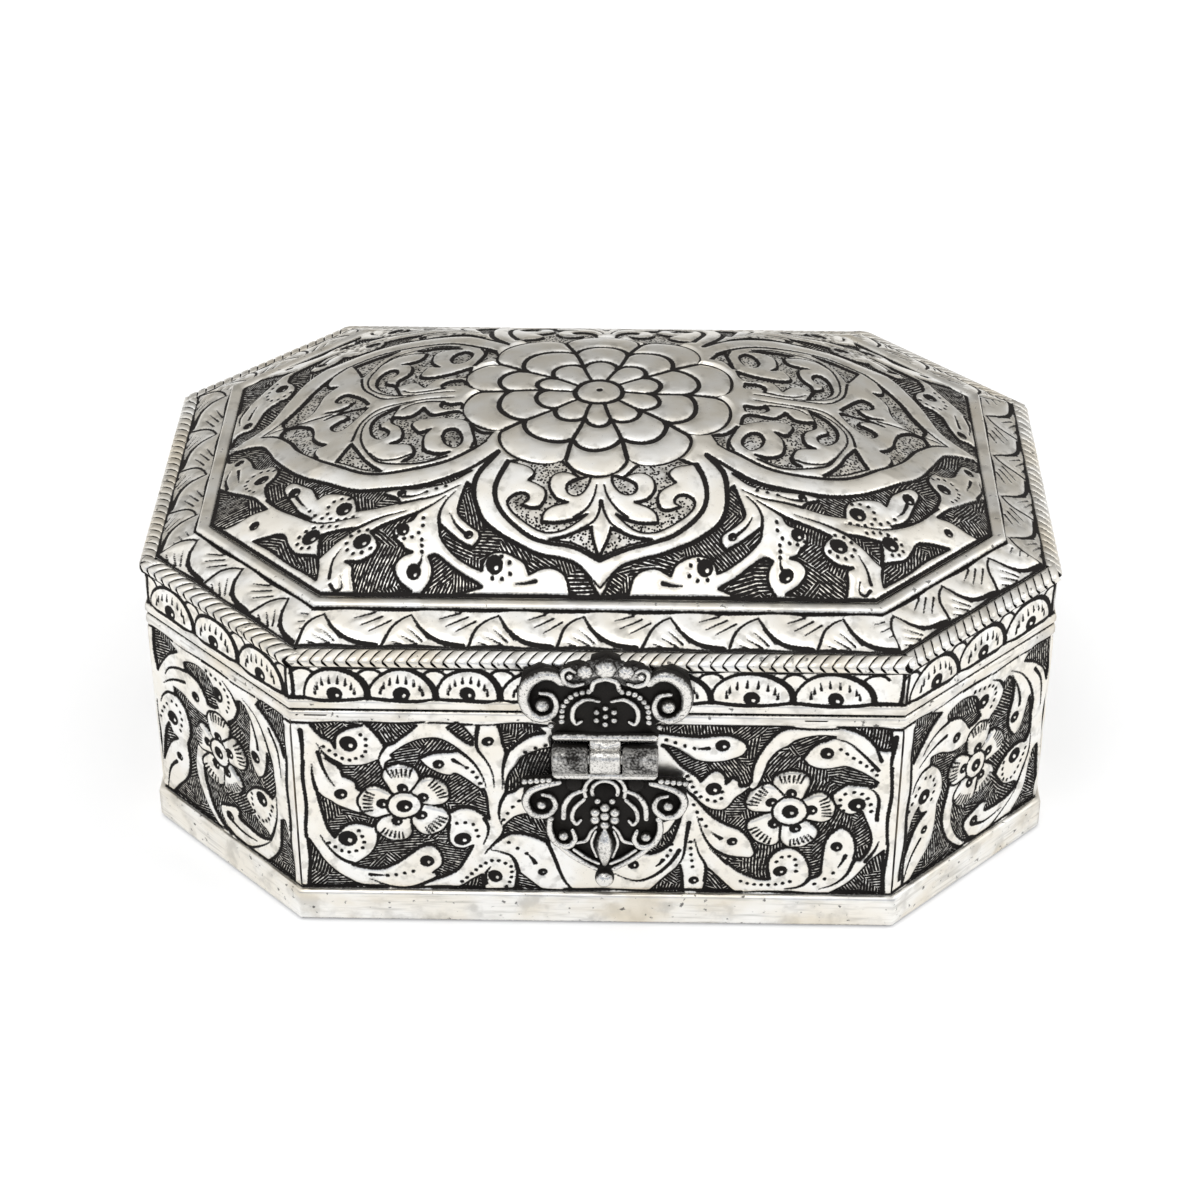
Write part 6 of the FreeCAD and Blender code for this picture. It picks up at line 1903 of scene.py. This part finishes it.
def hasp_flap(settings):
    """Flap that hangs from the leaf."""
    flap = Casting()
    flap.plate_of(FLAP_OUTLINE, CAST_BACK, CAST_FACE)
    for chain in FLAP_RODS:
        flap.rod(chain)
    flap.rod(((-7.7, 32.2, 0.75), (7.7, 32.2, 0.75)), hands=(1,))
    for radius in (2.1, 3.3):
        flap.rod([(x, z, 0.42) for x, z in arc((0, 29), radius, -20, 200, 11)], hands=(1,), steps=3)
    flap.rod(BUD, sides=6, hands=(1,), steps=2, level=ROD_LEVEL - 0.1)
    flap.boss(0, 10.6, 1.6, 1.5)
    drop = ((0, 9), (0.9, 9.2), (1.5, 10), (1.5, 11.2), (0.9, 12.4), (0, 12.6))
    flap.plate_of(drop, CAST_BACK, CAST_FACE)
    for hand in (1, -1):
        # Low values darken the side bosses and the flap's knuckles: painted shade, with wear
        flap.boss(hand * 5, 30.2, 1.5, 1, 0, 0.6)
        flap.barrel(hand * FLAP_KNUCKLE - 2.85, hand * FLAP_KNUCKLE + 2.85, 0.72)
        web = ((-2.8, 32.6), (2.8, 32.6), (2.8, 35.6), (-2.8, 35.6))
        edge = np.array([(HASP_X + hand * FLAP_KNUCKLE + x, z) for x, z in web])
        loops = [np.column_stack([edge[:, 0], np.full(4, level), edge[:, 1]])
                 for level in (HASP_BACK_Y - 2.4, HASP_BACK_Y - 0.4)]
        flap.put_rows(np.array(loops))
    finish = finish_named("cast_metal", settings)
    flap.piece("cast_hasp_flap", finish, "flap", "cast_hasp_metal", ["hasp_flap"])


def hasp(settings):
    """Cast hasp with its beads and nail heads."""
    hasp_leaf(settings)
    hasp_flap(settings)
    arch = spread(smooth([(2.6, 48.8), (4.8, 48.2), (6.6, 46), (6.9, 42.9)]), 9)
    crest = spread(np.array([(9, 31.2), (12.9, 30.8)]), 5)
    leaf_beads = [*arch, *bead_ring(44, 1.6, 30), (0, 44), (8.6, 42)]
    flap_balls = [*bead_ring(24, 1.75, 25), (0, 24), (10.2, 26.2), (6.7, 19.8)]
    for name, points, size, body in (
        ("cast_leaf_beads", leaf_beads, 0.55, "lid"),
        ("cast_flap_beads", [*crest, (1.2, 27), (8.7, 23.4)], 0.58, "flap"),
        ("cast_flap_balls", flap_balls, 0.88, "flap"),
    ):
        bead_set(name, hasp_places(points, ROD_LEVEL - 0.1), size, body, None, settings)
    low, high = node_box("hasp_nails")
    middle = (low[2] + high[2]) / 2
    eyes = hasp_places([((high[0] - low[0]) / 2 - (high[2] - low[2]) / 2, middle)], HASP_BACK_Y - 1.9)
    bead_set("hasp_nail_heads", eyes, 1.2, "lid", ["hasp_nails"], settings)


def keep_node(name, material):
    """Show a CAD node as it is, with a better finish."""
    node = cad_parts[name]
    for slot in node.material_slots:
        slot.link = "OBJECT"
        slot.material = material


def hinges(settings):
    """Back hinges, their nails and the catch behind the flap."""
    metal = finish_named("hinge_metal", settings)
    for hand in ("left", "right"):
        for part in ("base_leaf", "lid_leaf", "pin"):
            keep_node(hand + "_hinge_" + part, metal)
    for name in ("catch_plate", "catch_nails", "hasp_pin", "hinge_base_nails", "hinge_lid_nails"):
        keep_node(name, metal)


# Wood and cloth: columns of pads and of wall linings, and the pitch of tufts, in millimetres

PAD_SPACING = 2.2
LINING_SPACING = 1.1
TUFT_PITCH = 11


def carcass(settings):
    """Wooden boards of the base and the lid."""
    wood = finish_named("carcass_wood", settings)
    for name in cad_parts:
        if name.endswith("_board"):
            keep_node(name, wood)


def octagon_rows(inset, shares, heights):
    """Loops of the outline shrunk by shares of its size, each at its own heights."""
    columns = side_columns(PAD_SPACING)
    edge = outline_points(columns, inset)
    rows = np.empty((len(shares), len(columns), 3))
    rows[..., :2] = edge * np.array(shares)[:, None, None]
    rows[..., 2] = heights
    return rows


def velvet_pad(name, node, body, top_side, settings):
    """A velvet cushion on card with a crowned face and pulled-in edge.

    The face is its top or its underside.
    """
    low, high = node_box(node)
    inset = HALF_LENGTH - high[0] + 0.15
    shares = np.linspace(0.01, 1, 46)
    rows = octagon_rows(inset, shares, 0.0)
    thick = high[2] - low[2]
    x, y = rows[..., 0], rows[..., 1]
    along, over = x / TUFT_PITCH, y / TUFT_PITCH
    tuft = 0.5 + 0.5 * np.cos(math.pi * (along + over)) * np.cos(math.pi * (along - over))
    edge = np.sqrt(np.clip(1 - shares ** 24, 0, 1))[:, None]
    quilting = 0.55 * (tuft ** 0.5 - 0.6) * edge * np.clip((1 - shares[:, None]) * 12, 0, 1)
    face = thick * (0.45 + 0.55 * edge) + quilting
    wrinkle = 0.06 * np.sin(x * 0.9 + 1.3 * np.sin(y * 0.5)) * edge
    level = np.clip(face + wrinkle, 0.1, None)
    rows[..., 2] = low[2] + level if top_side else high[2] - level
    rear = octagon_rows(inset, (1.0, 0.6, 0.01), low[2] if top_side else high[2])
    mesh = Mesh()
    mesh.cap(np.concatenate([rows, rear]))
    piece = mesh.piece(name, finish_named("velvet", settings), body, "velvet", [node])


def velvet_wall(name, node, inner_node, body, settings):
    """Padded velvet strip round the inside of a wall, drawn in at each corner and seam."""
    low, high = node_box(node)
    outer_inset = HALF_LENGTH - high[0]
    inner_inset = HALF_LENGTH - node_box(inner_node)[1][0]
    columns = side_columns(LINING_SPACING)
    side, share = columns.T
    seams = np.where(np.isin(side, (0, 4)), 4, np.where(np.isin(side, (2, 6)), 2, 1))
    puff = np.abs(np.sin(math.pi * share * seams)) ** 0.45
    up = np.linspace(0, 1, 22)
    rise = np.sin(math.pi * np.clip(up, 0.02, 0.98))[:, None] ** 0.35
    depth = (inner_inset - outer_inset) * (0.5 + 0.42 * puff * rise)
    crease = 0.05 * np.sin(up[:, None] * 40 + share * 90) * rise
    inner = outline_shell(columns, outer_inset + np.clip(depth + crease, 0.1, None),
                          (low[2] + (high[2] - low[2]) * up)[:, None])
    ends = np.full((2, len(columns)), outer_inset + 0.02)
    outer = outline_shell(columns, ends, np.array([[high[2]], [low[2]]]))
    mesh = Mesh()
    mesh.ring(np.concatenate([inner, outer]))
    piece = mesh.piece(name, finish_named("velvet", settings), body, "velvet", [node])


def felt_sheet(settings):
    """Flat felt under the floor board, a little uneven below."""
    low, high = node_box("base_felt")
    inset = HALF_LENGTH - high[0]
    face_rows = 30
    shares = np.concatenate([np.linspace(0.01, 1, face_rows), [1.0, 0.5, 0.01]])
    rows = octagon_rows(inset, shares, 0.0)
    lift = 0.06 * np.sin(rows[..., 0] * 0.21) * np.sin(rows[..., 1] * 0.17 + 1) * (1 - shares[:, None] ** 6)
    below = np.arange(len(shares))[:, None] < face_rows
    rows[..., 2] = np.where(below, low[2] + 0.03 + np.abs(lift) * 0.5, high[2])
    mesh = Mesh()
    mesh.cap(rows)
    felt = mesh.piece("felt_base", finish_named("felt", settings), "base", "felt", ["base_felt"])
    size = (high - low)[:2] * MM
    cut = (CORNER_CUT - inset * DIAGONAL_SHARE) * MM
    float(size[0] * size[1] - 2 * cut * cut)


def lining(settings):
    """Velvet inside the box and felt under it."""
    velvet_wall("velvet_base_wall", "base_wall_lining", "base_floor_pad", "base", settings)
    velvet_wall("velvet_lid_wall", "lid_wall_lining", "lid_lining_panel", "lid", settings)
    velvet_pad("velvet_floor_pad", "base_floor_pad", "base", True, settings)
    velvet_pad("velvet_lid_panel", "lid_lining_panel", "lid", False, settings)
    felt_sheet(settings)


# Stage

CAMERA_PLACE = (0.00625, -0.4144, 0.3096)
CAMERA_TARGET = (-0.000385, 0.0, 0.027968)
CAMERA_LENS = 84.8
CAMERA_ROLL = 0.003
FLOOR_REACH = 6.0
WHITE = (1, 1, 1)


def add_floor(settings):
    """Pale floor that glows a little where it is seen or mirrored."""
    floor_mesh = bpy.data.meshes.new("floor")
    square = ((-1, -1), (1, -1), (1, 1), (-1, 1))
    floor_mesh.from_pydata([(x * FLOOR_REACH, y * FLOOR_REACH, 0) for x, y in square], [], [(0, 1, 2, 3)])
    floor = bpy.data.objects.new("floor", floor_mesh)
    bpy.context.scene.collection.objects.link(floor)
    finish = Finish("floor")
    seen = finish.node("ShaderNodeLightPath", output="Is Camera Ray")
    mirrored = finish.node("ShaderNodeLightPath", output="Is Glossy Ray")
    paper = finish.node("ShaderNodeBsdfDiffuse", {}, {"Color": (0.8, 0.8, 0.8, 1)})
    strength = (seen | mirrored) * settings.floor_glow
    glow = finish.node("ShaderNodeEmission", {}, {"Color": (*WHITE, 1), "Strength": strength})
    finish.node_output(finish.node("ShaderNodeAddShader", {}, {0: paper, 1: glow}))
    floor_mesh.materials.append(finish.material)


def add_studio(settings):
    """Surroundings that light the box: bright in front, cooler low in front, and darker behind."""
    world = bpy.data.worlds.new("studio")
    world.use_nodes = True
    bpy.context.scene.world = world
    studio = Finish("studio", world.node_tree)
    direction = studio.node("ShaderNodeTexCoord", output="Generated")
    ahead = studio.node("ShaderNodeSeparateXYZ", {}, {0: direction}, "Y")
    height = studio.node("ShaderNodeSeparateXYZ", {}, {0: direction}, "Z")
    low = height.between(-0.02, 0.1) * (1 - height.between(0.35, 0.6))
    low_front = low * (1 - ahead.between(-0.6, -0.1))
    front = studio.blend(low_front * 0.75, settings.studio_front, settings.studio_low)
    shade = studio.blend(ahead.between(0.3, 0.9), front, settings.studio_back)
    seen = studio.node("ShaderNodeLightPath", output="Is Camera Ray")
    plain = studio.blend(seen, shade, WHITE)
    studio.node_output(studio.node("ShaderNodeBackground", {}, {"Color": plain}), "ShaderNodeOutputWorld")


def add_lamps(settings):
    """Two square soft lamps that face the box."""
    for name, place, size, power in (
        ("soft_box", (-0.3, -0.55, 1.2), 0.8, settings.key_power),
        ("fill_box", (0.9, -0.2, 0.8), 0.7, settings.fill_power),
    ):
        lamp = bpy.data.lights.new(name, "AREA")
        lamp.shape = "SQUARE"
        lamp.size = size
        lamp.energy = power
        holder = bpy.data.objects.new(name, lamp)
        holder.location = place
        holder.rotation_euler = (Vector(CAMERA_TARGET) - Vector(place)).to_track_quat("-Z", "Y").to_euler()
        bpy.context.scene.collection.objects.link(holder)


def add_camera():
    """Camera placed as the photo's was."""
    scene = bpy.context.scene
    camera = bpy.data.cameras.new("camera")
    camera.lens = CAMERA_LENS
    camera.sensor_width = 36.0
    camera.clip_start = 0.01
    eye = bpy.data.objects.new("camera", camera)
    look = (Vector(CAMERA_TARGET) - Vector(CAMERA_PLACE)).to_track_quat("-Z", "Y").to_matrix()
    turned = (look @ Matrix.Rotation(CAMERA_ROLL, 3, "Z")).to_4x4()
    turned.translation = Vector(CAMERA_PLACE)
    eye.matrix_world = turned
    scene.collection.objects.link(eye)
    scene.camera = eye


def stage(settings):
    """Pale floor, soft light and the camera."""
    bpy.context.scene.view_settings.view_transform = "Standard"
    add_floor(settings)
    add_studio(settings)
    add_lamps(settings)
    add_camera()


# Settings, operators and panel

def amount(name, text, default, high, low=0, **more):
    """A number that the panel shows."""
    return bpy.props.FloatProperty(name=name, description=text, default=default, min=low, max=high, **more)


def length(name, text, default):
    """A small length in metres."""
    return amount(name, text, default, 0.02, 0.00005, unit="LENGTH", precision=5)


def colour(name, text, default):
    """A colour without alpha."""
    return bpy.props.FloatVectorProperty(name=name, description=text, default=default, size=3, min=0, max=1,
                                         subtype="COLOR")


class TrinketBoxSettings(bpy.types.PropertyGroup):
    """Sizes and colours of the box's looks."""

    grid: length("Sheet grid", "Spacing of the points of the chased sheets", 0.00027)
    dome_grid: length("Dome grid", "Spacing of the points round the front of the dome", 0.00028)
    dome_rows: bpy.props.IntProperty(
        name="Dome rows", description="Rows of points up each half of the dome",
        default=78, min=20, max=160)
    rope_pitch: length("Rope pitch", "From strand to strand along the rope rim", 0.0019)
    hatch_pitch: length("Hatch pitch", "From cut to cut in the black ground", 0.00052)
    hatch_patch: amount("Hatch patches", "Patches of cuts in a millimetre", 0.2, 3, 0.05)
    metal_warm: colour("Warm metal", "Yellower parts of the white metal", (0.86, 0.82, 0.74))
    metal_cool: colour("Cool metal", "Whiter parts of the white metal", (0.92, 0.91, 0.88))
    stain: colour("Stain", "Cream stains on the metal", (0.74, 0.66, 0.52))
    # Grey tarnish colour, also used for painted shade in the hollows of the chased metal and beside its
    # cuts
    tarnish_and_painted_shade: colour("Tarnish", "Grey tarnish on the metal", (0.27, 0.255, 0.225))
    # Blackening colour, also used for the painted shade on the rope and the plinth's foot
    ink: colour("Blackening", "Oxide in the cuts and on the ground", (0.018, 0.016, 0.015))
    # Casting colours: hollows and rubbed highs, also the painted shade and painted highlight of the rods
    # and beads
    cast_hollow_and_painted_shade: colour("Cast hollows", "Casting in its hollows", (0.02, 0.018, 0.016))
    cast_rubbed_and_painted_highlight: colour("Cast highs", "Casting where it is rubbed", (0.78, 0.76, 0.72))
    wood_light: colour("Pale wood", "Light grain of the carcass", (0.60, 0.42, 0.25))
    wood_dark: colour("Dark wood", "Dark grain of the carcass", (0.36, 0.22, 0.12))
    velvet: colour("Velvet", "Velvet lining", (0.20, 0.012, 0.022))
    velvet_shade: colour("Velvet shade", "Velvet brushed the other way", (0.34, 0.03, 0.045))
    felt: colour("Felt", "Felt below", (0.02, 0.07, 0.045))
    felt_shade: colour("Felt shade", "Lighter fibres of the felt", (0.05, 0.13, 0.085))
    studio_front: colour("Front light", "Studio in front of the box and above it", (1.0, 1.0, 1.0))
    studio_low: colour("Low front light", "Studio low in front of the box", (0.34, 0.40, 0.52))
    studio_back: colour("Back light", "Studio behind the box", (0.40, 0.39, 0.37))
    floor_glow: amount("Floor glow", "Brightness added to the floor as it is seen", 0.3, 1)
    key_power: amount("Key lamp", "Power of the large soft lamp", 3.0, 50, unit="POWER")
    fill_power: amount("Fill lamp", "Power of the smaller soft lamp", 1.5, 50, unit="POWER")


class BoxStep(bpy.types.Operator):
    """Shared run of every step"""

    bl_options = {"REGISTER"}

    def execute(self, context):
        self.build(context.scene.trinket_box)
        return {"FINISHED"}


class TRINKET_OT_stage(BoxStep):
    """Pale floor, soft light and camera"""

    bl_idname = "trinket_box.stage"
    bl_label = "Stage"

    def build(self, settings):
        stage(settings)


class TRINKET_OT_walls(BoxStep):
    """Chased plates round the base"""

    bl_idname = "trinket_box.walls"
    bl_label = "Wall Plates"

    def build(self, settings):
        for number in range(len(SIDES)):
            wall_plate(number, settings)


class TRINKET_OT_mouldings(BoxStep):
    """Plinth and beads"""

    bl_idname = "trinket_box.mouldings"
    bl_label = "Plinth and Beads"

    def build(self, settings):
        mouldings(settings)


class TRINKET_OT_skirt(BoxStep):
    """Scalloped skirt of the lid"""

    bl_idname = "trinket_box.skirt"
    bl_label = "Lid Skirt"

    def build(self, settings):
        skirt_sheet(settings)


class TRINKET_OT_rope(BoxStep):
    """Rope rim of the lid"""

    bl_idname = "trinket_box.rope"
    bl_label = "Rope Rim"

    def build(self, settings):
        rope_rim(settings)


class TRINKET_OT_top(BoxStep):
    """Leaf band, bar, dome and rosette of the lid"""

    bl_idname = "trinket_box.top"
    bl_label = "Lid Top"

    def build(self, settings):
        leaf_band(settings)
        top_bar(settings)
        dome_field(settings)
        rosette(settings)


class TRINKET_OT_hasp(BoxStep):
    """Cast hasp with its nails"""

    bl_idname = "trinket_box.hasp"
    bl_label = "Hasp"

    def build(self, settings):
        hasp(settings)


class TRINKET_OT_hinges(BoxStep):
    """Back hinges, nails and catch"""

    bl_idname = "trinket_box.hinges"
    bl_label = "Hinges and Catch"

    def build(self, settings):
        hinges(settings)


class TRINKET_OT_carcass(BoxStep):
    """Wooden boards"""

    bl_idname = "trinket_box.carcass"
    bl_label = "Carcass"

    def build(self, settings):
        carcass(settings)


class TRINKET_OT_lining(BoxStep):
    """Velvet lining and felt"""

    bl_idname = "trinket_box.lining"
    bl_label = "Lining and Felt"

    def build(self, settings):
        lining(settings)


STEPS = (TRINKET_OT_stage, TRINKET_OT_walls, TRINKET_OT_mouldings, TRINKET_OT_skirt, TRINKET_OT_rope,
         TRINKET_OT_top, TRINKET_OT_hasp, TRINKET_OT_hinges, TRINKET_OT_carcass, TRINKET_OT_lining)


class TRINKET_PT_panel(bpy.types.Panel):
    """Steps and settings of the box"""

    bl_label = "Chased Trinket Box"
    bl_idname = "TRINKET_PT_panel"
    bl_space_type = "VIEW_3D"
    bl_region_type = "UI"
    bl_category = "Chased Box"

    def draw(self, context):
        for step in STEPS:
            self.layout.operator(step.bl_idname)
        for name in TrinketBoxSettings.__annotations__:
            self.layout.prop(context.scene.trinket_box, name)


CLASSES = (TrinketBoxSettings, *STEPS, TRINKET_PT_panel)


def register():
    for each in CLASSES:
        bpy.utils.register_class(each)
    bpy.types.Scene.trinket_box = bpy.props.PointerProperty(type=TrinketBoxSettings)


def unregister():
    del bpy.types.Scene.trinket_box
    for each in reversed(CLASSES):
        bpy.utils.unregister_class(each)


def main():
    register()
    bpy.ops.trinket_box.stage()
    bpy.ops.trinket_box.walls()
    bpy.ops.trinket_box.mouldings()
    bpy.ops.trinket_box.skirt()
    bpy.ops.trinket_box.rope()
    bpy.ops.trinket_box.top()
    bpy.ops.trinket_box.hasp()
    bpy.ops.trinket_box.hinges()
    bpy.ops.trinket_box.carcass()
    bpy.ops.trinket_box.lining()


if __name__ == "__main__":
    main()
